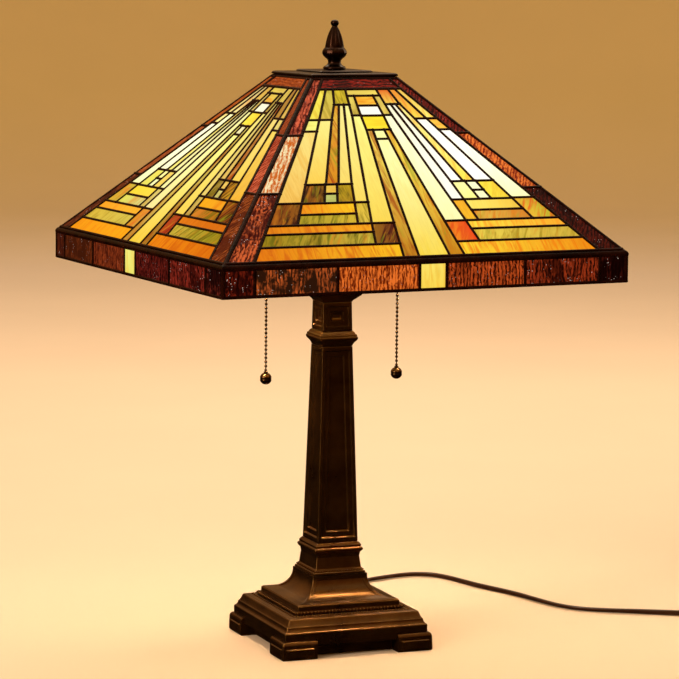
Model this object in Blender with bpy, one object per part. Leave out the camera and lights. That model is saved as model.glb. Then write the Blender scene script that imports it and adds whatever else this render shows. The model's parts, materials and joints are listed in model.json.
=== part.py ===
"""Stained glass table lamp: square leaded shade, pull-chain twin sockets, footed bronze base.

Metres, +Z up. The origin is on the table, under the middle of the lamp; -Y is the front.
Profiles are written in millimetres as (half width or radius, height) and scaled by MM.
"""

import math

import bmesh
import bpy
from mathutils import Matrix, Vector

MM = 0.001
GAP = 0.3  # clearance between neighbouring solids, mm

# Driving dimensions, mm unless the name says otherwise.
SHADE_TURN_DEG = 4.43  # the shade sits a little out of square with the base
SHADE_HALF = 203.2  # outer half width of the skirt
SKIRT_BOTTOM_Z = 358.5
SKIRT_TOP_Z = 386.3
CAP_HALF = 45.1
CAP_Z = 541.5
GLASS = 3.0
CAME_REACH = 5.0  # how far a hip came covers the glass from the corner
CAME_PROUD = 0.8
ROD_R = 4.75
ROD_HOLE = 5.2  # half width of the square passage for the rod
PANEL_DEPTH = 1.6  # how deep each nested panel of the column is sunk
PANEL_SLOPE = 0.9  # width of the sloping edge round each of those panels
FOOT_OUTER = 77.2
FOOT_INNER = 41.0
FOOT_TOP = 17.2
CLUSTER_Z = 398.0
SOCKET_TILT_DEG = 10.0
CHAIN_X = 66.9
CHAIN_TOP_Z = 375.2
BALL_Z = 256.7
BALL_R = 5.75
CORD_R = 2.8
CORD_Z = 3.1  # centreline height where the cord lies on the table
CORD_EXIT_Z = 21.0  # centreline height of the hole in the plinth
COIL_CENTRE = (426.6, -6.2)
COIL_HEADING_DEG = 62.8  # direction in which the cord's last turn leaves the coil
COIL_INNER, COIL_OUTER = 25.0, 37.0
COIL_BOTTOM, COIL_TOP = 1.4, 12.9
TIE_ANGLE_DEG = 120.0
PLUG_AWAY, PLUG_ALONG, PLUG_Z = 34.0, 20.6, 6.8  # from the coil's centre, to where the plug starts
BLADE_OFFSET = 6.35

RISE = CAP_Z - SKIRT_TOP_Z
RUN = SHADE_HALF - CAP_HALF
SLANT = math.hypot(RISE, RUN)
SIDES = ("front", "right", "back", "left")
CORNERS = ("front_right", "back_right", "back_left", "front_left")

# Each material: colour, metallic, roughness.
FINISHES = {
    "bronze": ((0.045, 0.022, 0.012), 0.7, 0.42),
    "cast_iron": ((0.05, 0.05, 0.055), 0.8, 0.65),
    "brass": ((0.62, 0.42, 0.16), 1.0, 0.35),
    "lead_came": ((0.03, 0.018, 0.012), 0.6, 0.5),
    "art_glass": ((0.85, 0.62, 0.2), 0.0, 0.25),
    "granite_glass": ((0.35, 0.05, 0.02), 0.0, 0.3),
    "bulb_glass": ((0.95, 0.93, 0.85), 0.0, 0.2),
    "cord_brown": ((0.035, 0.018, 0.012), 0.0, 0.45),
    "tie_black": ((0.02, 0.02, 0.02), 0.0, 0.6),
}


def clear_scene():
    """Remove whatever the startup file holds."""
    for obj in list(bpy.data.objects):
        bpy.data.objects.remove(obj, do_unlink=True)


def finish(name):
    """The material of that name, made once."""
    found = bpy.data.materials.get(name)
    if found:
        return found
    colour, metallic, roughness = FINISHES[name]
    material = bpy.data.materials.new(name)
    material.use_nodes = True
    shader = material.node_tree.nodes["Principled BSDF"]
    shader.inputs["Base Color"].default_value = (*colour, 1.0)
    shader.inputs["Metallic"].default_value = metallic
    shader.inputs["Roughness"].default_value = roughness
    return material


def empty(name, location=(0, 0, 0), rotation=(0, 0, 0)):
    """An axis to hang pieces on; location in mm."""
    holder = bpy.data.objects.new(name, None)
    bpy.context.scene.collection.objects.link(holder)
    holder.location = Vector(location) * MM
    holder.rotation_euler = rotation
    return holder


def piece(name, bm, material, parent=None, turn=0.0, at=(0, 0, 0), smooth=False):
    """Turn a mesh drawn in mm into a named object in metres."""
    bmesh.ops.recalc_face_normals(bm, faces=bm.faces)
    bmesh.ops.scale(bm, vec=(MM, MM, MM), verts=bm.verts)
    mesh = bpy.data.meshes.new(name)
    bm.to_mesh(mesh)
    bm.free()
    mesh.materials.append(finish(material))
    obj = bpy.data.objects.new(name, mesh)
    bpy.context.scene.collection.objects.link(obj)
    obj.parent = parent
    obj.location = Vector(at) * MM
    obj.rotation_euler = (0, 0, turn)
    if smooth:
        mesh.shade_smooth()
        mesh.set_sharp_from_angle(angle=math.radians(40))
    return obj


def rings_to_faces(bm, rings, closed):
    """Quads between consecutive rings of equal length; closed also joins last to first."""
    count = len(rings[0])
    pairs = list(zip(rings, rings[1:] + rings[:1] if closed else rings[1:]))
    bands = []
    for low, high in pairs:
        band = []
        for i in range(count):
            j = (i + 1) % count
            band.append(bm.faces.new((low[i], low[j], high[j], high[i])))
        bands.append(band)
    return bands


def square_ring(bm, half, z):
    """The four corners of a level square."""
    return [bm.verts.new((half * x, half * y, z)) for x, y in ((1, -1), (1, 1), (-1, 1), (-1, -1))]


def square_tube(outer, inner):
    """A hollow square piece: outer profile bottom to top, inner profile top to bottom."""
    bm = bmesh.new()
    rings = [square_ring(bm, half, z) for half, z in outer + inner]
    return bm, rings_to_faces(bm, rings, closed=True)


def bored(outer):
    """A square piece with a straight passage for the rod."""
    top, bottom = outer[-1][1], outer[0][1]
    return square_tube(outer, [(ROD_HOLE, top), (ROD_HOLE, bottom)])[0]


def lathe(profile, steps, closed=False):
    """Turn a profile of (radius, height) round Z. A radius of 0 is a pole."""
    bm = bmesh.new()
    rings = []
    for radius, z in profile:
        if radius == 0:
            rings.append([bm.verts.new((0, 0, z))])
            continue
        angles = [2 * math.pi * i / steps for i in range(steps)]
        rings.append([bm.verts.new((radius * math.cos(a), radius * math.sin(a), z)) for a in angles])
    for low, high in zip(rings, rings[1:] + rings[:1] if closed else rings[1:]):
        if len(low) == len(high) == 1:
            continue  # both are poles, so no wall joins them
        for i in range(steps):
            j = (i + 1) % steps
            corners = [low[i % len(low)], low[j % len(low)], high[j % len(high)], high[i % len(high)]]
            bm.faces.new(list(dict.fromkeys(corners)))
    for end in () if closed else (rings[0], rings[-1]):
        if len(end) > 1:
            bm.faces.new(end)
    return bm


def recess(bm, faces, borders):
    """Sink nested panels into faces, one step for each border width."""
    for border in borders:
        bmesh.ops.recalc_face_normals(bm, faces=bm.faces)
        bmesh.ops.inset_individual(bm, faces=faces, thickness=border, depth=0)
        bmesh.ops.inset_individual(bm, faces=faces, thickness=PANEL_SLOPE, depth=-PANEL_DEPTH)


def cavetto(half_low, z_low, half_high, z_high, points):
    """Profile points of a concave quarter sweep, from wide and low to narrow and high."""
    found = []
    for i in range(points + 1):
        angle = math.pi / 2 * i / points
        half = half_high + (half_low - half_high) * (1 - math.sin(angle))
        found.append((half, z_low + (z_high - z_low) * (1 - math.cos(angle))))
    return found


def shade_half(z):
    """Outer half width of the sloping panels at a height."""
    return SHADE_HALF - (z - SKIRT_TOP_Z) * RUN / RISE


# The base: four feet, plinth, two tiers and the column, threaded on the rod.


def corner_feet():
    """A stepped block with a chamfered top under each corner."""
    outline = [(FOOT_OUTER - 1.2, 0.0), (FOOT_OUTER, 1.6), (FOOT_OUTER - 0.9, 9.6)]
    outline += [(FOOT_OUTER - 1.6, 10.4), (FOOT_OUTER - 1.8, 14.4), (FOOT_OUTER - 4.0, FOOT_TOP)]
    for k, corner in enumerate(CORNERS):
        bm = bmesh.new()
        rings = []
        for outer, z in outline:
            plan = ((FOOT_INNER, -outer), (outer, -outer), (outer, -FOOT_INNER), (FOOT_INNER, -FOOT_INNER))
            rings.append([bm.verts.new((x, y, z)) for x, y in plan])
        rings_to_faces(bm, rings, closed=False)
        bm.faces.new(rings[0])
        bm.faces.new(rings[-1])
        piece("foot_" + corner, bm, "bronze", turn=k * math.pi / 2)


def cord_hole():
    """A hidden cutter for the hole in the plinth's back wall."""
    bm = lathe([(2.6, 60.0), (2.6, 80.0)], 12)
    cutter = piece("cord_hole_cutter", bm, "bronze")
    cutter.rotation_euler = (-math.pi / 2, 0, 0)
    cutter.location = (0, 0, CORD_EXIT_Z * MM)
    cutter.hide_render = True
    cutter.display_type = "WIRE"
    return cutter


def apron():
    """A hidden tool: between the feet, the fascia's lower edge and the wall set back behind it."""
    bm = bmesh.new()
    reach = FOOT_INNER - 2 * GAP
    outline = [(-72.3, 11.8), (-72.3, 18.1), (-58.0, 18.1), (-58.0, 1.2), (-62.0, 1.2), (-62.0, 11.8)]
    for quarter in range(4):
        turn = Matrix.Rotation(math.pi / 2 * quarter, 3, "Z")
        ends = [[bm.verts.new(turn @ Vector((x, y, z))) for y, z in outline] for x in (-reach, reach)]
        rings_to_faces(bm, ends, closed=False)
        bm.faces.new(ends[0])
        bm.faces.new(ends[1])
    tool = piece("apron_tool", bm, "bronze")
    tool.hide_render = True
    tool.display_type = "WIRE"
    return tool


def plinth():
    """A hollow stepped block with a cove under its steep top face and an apron between the feet."""
    base = FOOT_TOP + GAP
    outer = [(72.3, base), (72.3, 24.6), (71.2, 26.0), (69.6, 27.6), (68.9, 29.6)]
    outer += [(65.4, 36.6), (50.0, 38.6)]
    inner = [(ROD_HOLE, 38.6), (ROD_HOLE, 34.2), (62.0, 34.2), (67.6, 26.0), (67.6, base)]
    bm, _ = square_tube(outer, inner)
    obj = piece("plinth", bm, "bronze")
    join = obj.modifiers.new("apron", "BOOLEAN")
    join.operation = "UNION"
    join.object = apron()
    cut = obj.modifiers.new("cord_hole", "BOOLEAN")
    cut.operation = "DIFFERENCE"
    cut.object = cord_hole()


def base_fixings():
    """The ballast, washer and nut that clamp the rod under the plinth."""
    ballast = [(50.0, 20.5), (60.0, 20.5), (60.0, 32.4), (ROD_HOLE, 32.4), (ROD_HOLE, 24.5), (50.0, 24.5)]
    piece("base_weight", square_tube(ballast, [])[0], "cast_iron")
    washer = [(5.2, 22.7), (14.0, 22.7), (14.0, 24.2), (5.2, 24.2)]
    piece("base_washer", lathe(washer, 16, closed=True), "brass", smooth=True)
    nut = [(5.6, 18.4), (9.2, 18.4), (9.2, 22.4), (5.6, 22.4)]
    piece("base_nut", lathe(nut, 6, closed=True), "brass")


def base_tiers():
    """The beaded strip, the concave tier, and the collar at the foot of the column."""
    beads = [(52.0, 38.8), (54.8, 38.6), (55.2, 39.8), (54.4, 41.2), (52.0, 41.2)]
    piece("bead_strip", square_tube(beads, [])[0], "bronze")
    outer = [(51.6, 38.9), (51.6, 45.2), (50.4, 46.4)]
    outer += cavetto(48.6, 46.6, 27.8, 67.0, 6) + [(27.8, 68.6)]
    inner = [(ROD_HOLE, 68.6), (ROD_HOLE, 64.6), (22.0, 64.6), (26.0, 56.0)]
    inner += [(38.0, 47.0), (46.6, 42.0), (46.6, 38.9)]
    piece("cavetto_tier", square_tube(outer, inner)[0], "bronze")
    collar = [(26.4, 68.9), (26.4, 70.8), (24.4, 71.4), (24.4, 73.2), (23.2, 74.0), (21.9, 85.0)]
    collar += [(22.4, 88.4), (23.9, 90.0), (24.5, 92.6), (23.9, 95.2), (22.5, 96.6)]
    collar += [(22.5, 97.4), (21.0, 98.6)]
    piece("column_collar", bored(collar), "bronze")


def column():
    """The tapering shaft, its capital, the neck block and the flared top."""
    outer = [(20.6, 98.9), (15.2, 286.2)]
    inner = [(9.8, 286.2), (14.8, 98.9)]
    bm, bands = square_tube(outer, inner)
    recess(bm, bands[0], (3.6, 4.5))
    piece("shaft", bm, "bronze")
    capital = [(15.2, 286.5), (15.6, 288.0), (17.6, 291.2), (18.8, 292.6), (19.5, 294.6)]
    capital += [(19.4, 296.6), (18.4, 298.0), (17.4, 298.6), (16.4, 300.6), (15.2, 301.4)]
    piece("capital", bored(capital), "bronze")
    outer, inner = [(15.1, 301.7), (14.6, 328.4)], [(9.0, 328.4), (9.0, 301.7)]
    bm, bands = square_tube(outer, inner)
    recess(bm, bands[0], (3.6, 4.3))
    piece("neck_block", bm, "bronze")
    top = [(14.8, 328.7), (15.6, 330.4), (18.2, 332.6), (21.4, 335.4), (23.6, 338.6)]
    top += [(24.4, 342.0), (24.4, 345.2)]
    piece("top_flare", bored(top), "bronze")


def lamp_rod():
    """The threaded rod that holds the lamp together, and its nuts."""
    rod = [(0, 19.0), (ROD_R, 19.0), (ROD_R, 556.0), (0, 556.0)]
    piece("center_rod", lathe(rod, 12), "brass", smooth=True)
    nut = [(5.6, 345.5), (9.6, 345.5), (9.6, 350.5), (5.6, 350.5)]
    piece("column_nut", lathe(nut, 6, closed=True), "brass")
    seat = [(5.6, 534.5), (11.0, 534.5), (12.5, 537.2), (12.5, 541.2), (5.6, 541.2)]
    piece("cap_seat_nut", lathe(seat, 12, closed=True), "brass", smooth=True)


# The light cluster: body, arms, sockets, bulbs and pull switches.


def cluster():
    """The hub on the rod that carries both arms."""
    body = [(5.2, 386.0), (11.0, 386.0), (17.0, 391.0), (17.0, 405.0), (11.0, 410.0), (5.2, 410.0)]
    piece("cluster_body", lathe(body, 16, closed=True), "bronze", smooth=True)


def socket(side, sign):
    """One socket, drawn along its own axis from the cluster outwards."""
    tilt = math.radians(90 - SOCKET_TILT_DEG) * sign
    axis = empty("socket_axis_" + side, (0, 0, CLUSTER_Z), (0, tilt, 0))
    arm = [(2.5, 19.0), (5.0, 19.0), (5.0, 31.5), (2.5, 31.5)]
    cap = [(3.0, 31.8), (8.5, 31.8), (15.0, 36.0), (17.5, 43.4)]
    cap += [(16.3, 43.4), (13.8, 37.0), (3.0, 33.4)]
    shell = [(15.9, 43.7), (17.6, 43.7), (18.0, 70.0), (19.0, 74.0)]
    shell += [(17.8, 74.0), (16.8, 70.0), (15.9, 60.0)]
    for name, profile in (("arm", arm), ("socket_cap", cap), ("socket_shell", shell)):
        bm = lathe(profile, 16, closed=True)
        piece(f"{name}_{side}", bm, "brass", parent=axis, smooth=True)
    bulb(side, axis)
    pull_switch(side, sign)


def bulb(side, axis):
    """A hollow glass globe on a screw base."""
    base = [(0, 49.0), (5.0, 49.0), (12.6, 53.0), (13.0, 71.5), (0, 71.5)]
    piece("bulb_base_" + side, lathe(base, 14), "brass", parent=axis, smooth=True)
    centre, radius, wall = 118.0, 25.0, 1.0
    outer = [(12.8, 71.8), (13.4, 80.0), (17.0, 92.0)]
    inner = [(16.0, 92.6), (12.4, 80.2), (11.8, 71.8)]
    angles = [math.radians(a) for a in (-36, -8, 18, 44, 68)]
    dome = [(radius * math.cos(a), centre + radius * math.sin(a)) for a in angles]
    hollow = [((radius - wall) * math.cos(a), centre + (radius - wall) * math.sin(a)) for a in angles]
    top = [(0, centre + radius), (0, centre + radius - wall)]
    profile = outer + dome + top + hollow[::-1] + inner
    piece("bulb_" + side, lathe(profile, 16, closed=True), "bulb_glass", parent=axis, smooth=True)


def pull_switch(side, sign):
    """The bell-mouthed spout, the sliding link, the bead chain and its ball."""
    lean = math.radians(180 - 32) * sign
    spout_axis = empty("spout_axis_" + side, (sign * 60.9, 0, 388.0), (0, lean, 0))
    spout = [(2.6, 0.4), (4.2, 0.4), (3.8, 6.0), (5.0, 11.0), (4.0, 11.0), (3.0, 7.0)]
    piece("chain_spout_" + side, lathe(spout, 12, closed=True), "brass", parent=spout_axis, smooth=True)
    at = (sign * CHAIN_X, 0, 0)
    link_low, link_high = CHAIN_TOP_Z + GAP, CHAIN_TOP_Z + 4.8
    link = [(0, link_low), (1.2, link_low), (1.2, link_high), (0, link_high)]
    piece("pull_link_" + side, lathe(link, 8), "brass", at=at, smooth=True)
    low = BALL_Z + BALL_R + GAP
    chain = [(0, low), (1.1, low), (1.1, CHAIN_TOP_Z), (0, CHAIN_TOP_Z)]
    piece("pull_chain_" + side, lathe(chain, 8), "brass", at=at, smooth=True)
    angles = [math.pi * i / 8 for i in range(1, 8)]
    ball = [(BALL_R * math.sin(a), BALL_Z - BALL_R * math.cos(a)) for a in angles]
    profile = [(0, BALL_Z - BALL_R)] + ball + [(0, BALL_Z + BALL_R)]
    piece("pull_ball_" + side, lathe(profile, 12), "brass", at=at, smooth=True)


# The shade: leaded panels, skirt glass, cames, and the cap that carries them.


def on_slope(x, v, w):
    """A point of the front panel: x across, v up the slope, w out of the glass."""
    run, rise = RUN / SLANT, RISE / SLANT
    return (x, -(SHADE_HALF - v * run) - w * rise, SKIRT_TOP_Z + v * rise + w * run)


def slab(outer_face, inner_face):
    """A solid between two matching outlines."""
    bm = bmesh.new()
    rings = [[bm.verts.new(p) for p in face] for face in (outer_face, inner_face)]
    rings_to_faces(bm, rings, closed=False)
    bm.faces.new(rings[0])
    bm.faces.new(rings[1])
    return bm


def panel_outline(w):
    """The four corners of a sloping panel at a depth w."""
    low, high = 3.6, 217.0
    corners = []
    for side, v in ((-1, low), (1, low), (1, high), (-1, high)):
        half = SHADE_HALF - v * RUN / SLANT - CAME_REACH - GAP - 0.1
        corners.append(on_slope(side * half, v, w))
    return corners


def skirt_outline(half):
    """The four corners of an upright skirt pane whose face is at that half width."""
    low, high = SKIRT_BOTTOM_Z + 3.0, SKIRT_TOP_Z - 2.4
    return [(s * (half - 0.25), -half, z) for s, z in ((-1, low), (1, low), (1, high), (-1, high))]


def glass(axis):
    """Four sloping panels, and four upright panes under them."""
    for k, side in enumerate(SIDES):
        bm = slab(panel_outline(0.0), panel_outline(-GLASS))
        piece("panel_" + side, bm, "art_glass", parent=axis, turn=k * math.pi / 2)
        bm = slab(skirt_outline(SHADE_HALF), skirt_outline(SHADE_HALF - GLASS))
        piece("skirt_" + side, bm, "granite_glass", parent=axis, turn=k * math.pi / 2)


def came_section(z):
    """The square section of a hip came at a height, at the front right corner."""
    outer = shade_half(z) + CAME_PROUD
    inner = shade_half(z) - CAME_REACH
    return [(inner, -outer, z), (outer, -outer, z), (outer, -inner, z), (inner, -inner, z)]


def cames(axis):
    """The leads along the hips, the eave, the bottom rim and the top opening."""
    for k, corner in enumerate(CORNERS):
        bm = slab(came_section(389.5), came_section(535.6))
        piece("hip_came_" + corner, bm, "lead_came", parent=axis, turn=k * math.pi / 2)
    eave = [(198.4, 384.3), (204.0, 384.3), (204.0, 387.0), (201.6, 389.1), (198.4, 385.7)]
    piece("eave_came", square_tube(eave, [])[0], "lead_came", parent=axis)
    rim = [(199.6, 359.2), (200.6, 358.5), (203.8, 358.5), (204.6, 359.3)]
    rim += [(204.6, 360.5), (203.8, 361.2), (199.6, 361.2)]
    piece("rim_came", square_tube(rim, [])[0], "lead_came", parent=axis)
    collar = [(41.0, 538.0), (45.3, 535.9), (48.5, 539.1), (46.2, 541.2), (41.0, 541.2)]
    piece("collar_came", square_tube(collar, [])[0], "lead_came", parent=axis)


def cap(axis):
    """The square plate that closes the shade, and the raised plate on it."""
    rim = [(45.6, CAP_Z), (45.6, 542.7), (43.2, 546.0)]
    under = [(ROD_HOLE, 546.0), (ROD_HOLE, 544.6), (42.0, 544.6), (44.0, CAP_Z)]
    piece("cap_rim", square_tube(rim, under)[0], "bronze", parent=axis)
    crown = [(27.4, 546.3), (27.4, 547.0), (25.4, 548.0)]
    passage = [(ROD_HOLE, 548.0), (ROD_HOLE, 546.3)]
    piece("cap_crown", square_tube(crown, passage)[0], "bronze", parent=axis)


def finial():
    """A turned knob with a blind hole that takes the end of the rod."""
    bore = [(0, 556.5), (5.2, 556.5), (5.2, 548.3)]
    foot = [(10.3, 548.3), (10.8, 549.6), (10.1, 551.0), (7.0, 552.9), (6.2, 554.2), (6.3, 556.9)]
    bulge = [(7.6, 558.5), (10.2, 560.6), (11.6, 562.9), (11.7, 564.8), (10.6, 567.3)]
    spire = [(8.8, 569.4), (8.3, 573.2), (7.6, 577.0), (6.5, 580.8), (4.9, 584.6), (2.6, 588.2)]
    tip = [(3.3, 590.0), (3.9, 591.8), (3.1, 593.8), (0, 595.0)]
    piece("finial", lathe(bore + foot + bulge + spire + tip, 16), "bronze", smooth=True)


# The cord: bushing, tube along the table, tied coil and plug.


def spline_point(a, b, c, d, t):
    """A point between b and c on the smooth curve through all four."""
    cubic = (3 * b - a - 3 * c + d) * t**3
    return 0.5 * (2 * b + (c - a) * t + (2 * a - 5 * b + 4 * c - d) * t**2 + cubic)


def smooth_route(points, spacing):
    """Points at an even spacing along a smooth curve through hand-set points."""
    steps = 20
    ends = [points[0] * 2 - points[1]] + points + [points[-1] * 2 - points[-2]]
    fine = []
    for a, b, c, d in zip(ends, ends[1:], ends[2:], ends[3:]):
        fine += [spline_point(a, b, c, d, i / steps) for i in range(steps)]
    fine.append(points[-1])
    lengths = [0.0]
    for a, b in zip(fine, fine[1:]):
        lengths.append(lengths[-1] + (b - a).length)
    count = round(lengths[-1] / spacing)
    found, i = [], 0
    for k in range(count + 1):
        target = lengths[-1] * k / count
        while i < len(fine) - 2 and lengths[i + 1] < target:
            i += 1
        share = (target - lengths[i]) / (lengths[i + 1] - lengths[i])
        found.append(fine[i].lerp(fine[i + 1], share))
    return found


CORD_ROUTE = (
    (0, 96.8, 21.0),
    (0, 106.0, 20.6),
    (1.0, 120.0, 16.2),
    (5.0, 136.0, 9.2),
    (12.5, 152.0, 4.4),
    (24.0, 168.0, CORD_Z),
    (40.0, 184.0, CORD_Z),
    (67.0, 204.5, CORD_Z),
    (102.0, 225.0, CORD_Z),
    (139.7, 240.7, CORD_Z),
    (172.0, 250.4, CORD_Z),
    (193.0, 252.0, CORD_Z),
    (211.0, 243.0, CORD_Z),
    (221.0, 225.0, CORD_Z),
    (227.5, 203.0, CORD_Z),
    (235.0, 176.3, CORD_Z),
    (246.5, 146.0, CORD_Z),
    (256.2, 118.0, CORD_Z),
    (263.5, 88.2, CORD_Z),
    (271.0, 61.0, CORD_Z),
    (282.5, 40.0, CORD_Z),
    (303.0, 23.0, CORD_Z),
    (335.0, 5.5, CORD_Z),
    (369.7, -11.9, CORD_Z),
    (390.6, -22.6, CORD_Z),
)


def cord():
    """A tube from the bushing to the start of the coil."""
    curve = bpy.data.curves.new("cord", "CURVE")
    curve.dimensions = "3D"
    curve.bevel_depth = CORD_R * MM
    curve.bevel_resolution = 2
    curve.use_fill_caps = True
    route = smooth_route([Vector(p) * MM for p in CORD_ROUTE], 5 * CORD_R * MM)
    spline = curve.splines.new("POLY")
    spline.points.add(len(route) - 1)
    for point, place in zip(spline.points, route):
        point.co = (*place, 1.0)
    curve.materials.append(finish("cord_brown"))
    obj = bpy.data.objects.new("cord", curve)
    bpy.context.scene.collection.objects.link(obj)


def cord_bushing():
    """The tapered strain relief in the plinth's back wall."""
    profile = [(0, 69.0), (2.2, 69.0), (2.2, 72.7), (4.2, 72.7), (4.2, 74.6)]
    profile += [(3.9, 75.2), (3.0, 96.3), (0, 96.3)]
    obj = piece("cord_bushing", lathe(profile, 14), "cord_brown", smooth=True)
    obj.rotation_euler = (-math.pi / 2, 0, 0)
    obj.location = (0, 0, CORD_EXIT_Z * MM)


def cord_coil():
    """The envelope of the wound turns."""
    ring = [(COIL_INNER, 2.6), (26.4, COIL_BOTTOM), (35.6, COIL_BOTTOM), (COIL_OUTER, 2.6)]
    ring += [(COIL_OUTER, 11.4), (35.6, COIL_TOP), (26.4, COIL_TOP), (COIL_INNER, 11.4)]
    piece("cord_coil", lathe(ring, 28, closed=True), "cord_brown", at=(*COIL_CENTRE, 0), smooth=True)


def cord_tie():
    """A flat strap round the bundle of turns."""
    outer = [(23.8, 0.3), (38.2, 0.3), (38.2, 14.0), (23.8, 14.0)]
    inner = [(24.6, 1.1), (37.4, 1.1), (37.4, 13.2), (24.6, 13.2)]
    half_width = 2.5
    bm = bmesh.new()
    rings = []
    loops = ((outer, -half_width), (outer, half_width), (inner, half_width), (inner, -half_width))
    for outline, y in loops:
        rings.append([bm.verts.new((x, y, z)) for x, z in outline])
    rings_to_faces(bm, rings, closed=True)
    piece("cord_tie", bm, "tie_black", turn=math.radians(TIE_ANGLE_DEG), at=(*COIL_CENTRE, 0))


def join_blades(obj, turn, at):
    """Two flat blades, joined to the body of the plug."""
    for side in (-1, 1):
        blade = bmesh.new()
        size = Matrix.Diagonal((20.0, 1.5, 6.3, 1.0))
        spot = Matrix.Translation((50.0, side * BLADE_OFFSET, 0))
        bmesh.ops.create_cube(blade, size=1.0, matrix=spot @ size)
        tool = piece(f"plug_blade_tool_{side}", blade, "brass", turn=turn, at=at)
        tool.hide_render = True
        tool.display_type = "WIRE"
        join = obj.modifiers.new("blade", "BOOLEAN")
        join.operation = "UNION"
        join.object = tool


def plug():
    """A moulded two-blade plug lying where the last turn leaves the coil."""
    heading = math.radians(COIL_HEADING_DEG)
    spec = [(0, 2.8, 2.8), (18, 4.6, 4.2), (20, 6.4, 5.2), (26, 9.6, 6.0), (40, 10.2, 6.4), (44, 9.6, 6.0)]
    bm = bmesh.new()
    rings = []
    for x, wide, tall in spec:
        angles = [math.radians(22.5 + 45 * i) for i in range(8)]
        rings.append([bm.verts.new((x, wide * math.cos(a), tall * math.sin(a))) for a in angles])
    rings_to_faces(bm, rings, closed=False)
    bm.faces.new(rings[0])
    bm.faces.new(rings[-1])
    away = Vector((math.sin(heading), -math.cos(heading), 0)) * PLUG_AWAY
    along = Vector((math.cos(heading), math.sin(heading), 0)) * PLUG_ALONG
    place = Vector((*COIL_CENTRE, PLUG_Z)) + away + along
    obj = piece("plug", bm, "cord_brown", turn=heading, at=place, smooth=True)
    join_blades(obj, heading, place)


def main():
    clear_scene()
    corner_feet()
    plinth()
    base_fixings()
    base_tiers()
    column()
    lamp_rod()
    cluster()
    socket("left", -1)
    socket("right", 1)
    shade_axis = empty("shade_axis", rotation=(0, 0, math.radians(SHADE_TURN_DEG)))
    glass(shade_axis)
    cames(shade_axis)
    cap(shade_axis)
    finial()
    cord_bushing()
    cord()
    cord_coil()
    cord_tie()
    plug()


main()
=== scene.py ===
"""A leaded-glass table lamp with a square shade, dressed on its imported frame."""

import json
import math
import random

import bmesh
import bpy
from mathutils import Matrix, Vector, noise

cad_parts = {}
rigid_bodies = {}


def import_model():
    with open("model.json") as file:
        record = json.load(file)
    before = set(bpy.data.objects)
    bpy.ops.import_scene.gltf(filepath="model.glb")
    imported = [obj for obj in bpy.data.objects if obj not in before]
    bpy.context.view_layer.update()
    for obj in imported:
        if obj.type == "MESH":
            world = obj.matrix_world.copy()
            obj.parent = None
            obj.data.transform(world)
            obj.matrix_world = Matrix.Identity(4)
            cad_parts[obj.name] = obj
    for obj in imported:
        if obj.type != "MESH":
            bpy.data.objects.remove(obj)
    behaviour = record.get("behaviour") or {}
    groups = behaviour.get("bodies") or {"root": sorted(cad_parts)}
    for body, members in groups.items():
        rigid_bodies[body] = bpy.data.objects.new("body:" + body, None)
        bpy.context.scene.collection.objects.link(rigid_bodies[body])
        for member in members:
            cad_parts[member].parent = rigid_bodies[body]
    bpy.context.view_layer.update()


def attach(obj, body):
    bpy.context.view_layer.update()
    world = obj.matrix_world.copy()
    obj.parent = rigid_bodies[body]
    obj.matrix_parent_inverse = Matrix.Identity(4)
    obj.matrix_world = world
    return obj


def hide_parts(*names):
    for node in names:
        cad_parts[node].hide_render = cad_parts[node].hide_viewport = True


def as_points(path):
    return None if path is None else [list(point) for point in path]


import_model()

MM = 0.001
SHADE_TURN = math.radians(4.43)

# The shade's own measures, mm: v runs up the slope, u across, w out of the glass.
HALF = 203.2
EAVE_Z = 386.3
CAP_HALF = 45.1
CAP_Z = 541.5
RISE = CAP_Z - EAVE_Z
RUN = HALF - CAP_HALF
SLANT = math.hypot(RISE, RUN)
GLASS = 3.0
SIDES = ("front", "right", "back", "left")
CORNERS = ("front_right", "back_right", "back_left", "front_left")
ROD_HOLE = 5.2
QUARTER = math.pi / 2
SKIRT_LOW, SKIRT_HIGH = 360.8, 383.4
TOP_LEAD = 208
CLUSTER_Z = 398.0
SOCKET_TILT = math.radians(80)
CHAIN_X = 66.9
SPOUT_X, SPOUT_Z, SPOUT_LEAN = 60.9, 388.0, math.radians(148)
BALL_Z, BALL_R = 256.7, 5.75


# Small helpers.


def linear(code):
    """A colour written as six hex digits, as linear red, green and blue."""
    parts = [int(code[i:i + 2], 16) / 255 for i in (0, 2, 4)]
    return [p / 12.92 if p <= 0.04045 else ((p + 0.055) / 1.055) ** 2.4 for p in parts]


def mix(a, b, t):
    return [x + (y - x) * t for x, y in zip(a, b)]


def angles(count):
    """The directions of equally spaced points round a circle."""
    return [2 * math.pi * i / count for i in range(count)]


def side_turn(k):
    """How far side k of the shade is turned from the front of the frame."""
    return SHADE_TURN + k * QUARTER


def linked(name, data):
    """A new object for the data, in the scene."""
    obj = bpy.data.objects.new(name, data)
    bpy.context.scene.collection.objects.link(obj)
    return obj


def smooth_mesh(name, shell, material):
    """The shell as a mesh in metres with one material."""
    mesh = bpy.data.meshes.new(name)
    mesh.from_pydata([[c * MM for c in p] for p in shell.points], [], shell.faces)
    mesh.polygons.foreach_set("use_smooth", [True] * len(mesh.polygons))
    mesh.materials.append(material)
    return mesh


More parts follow.
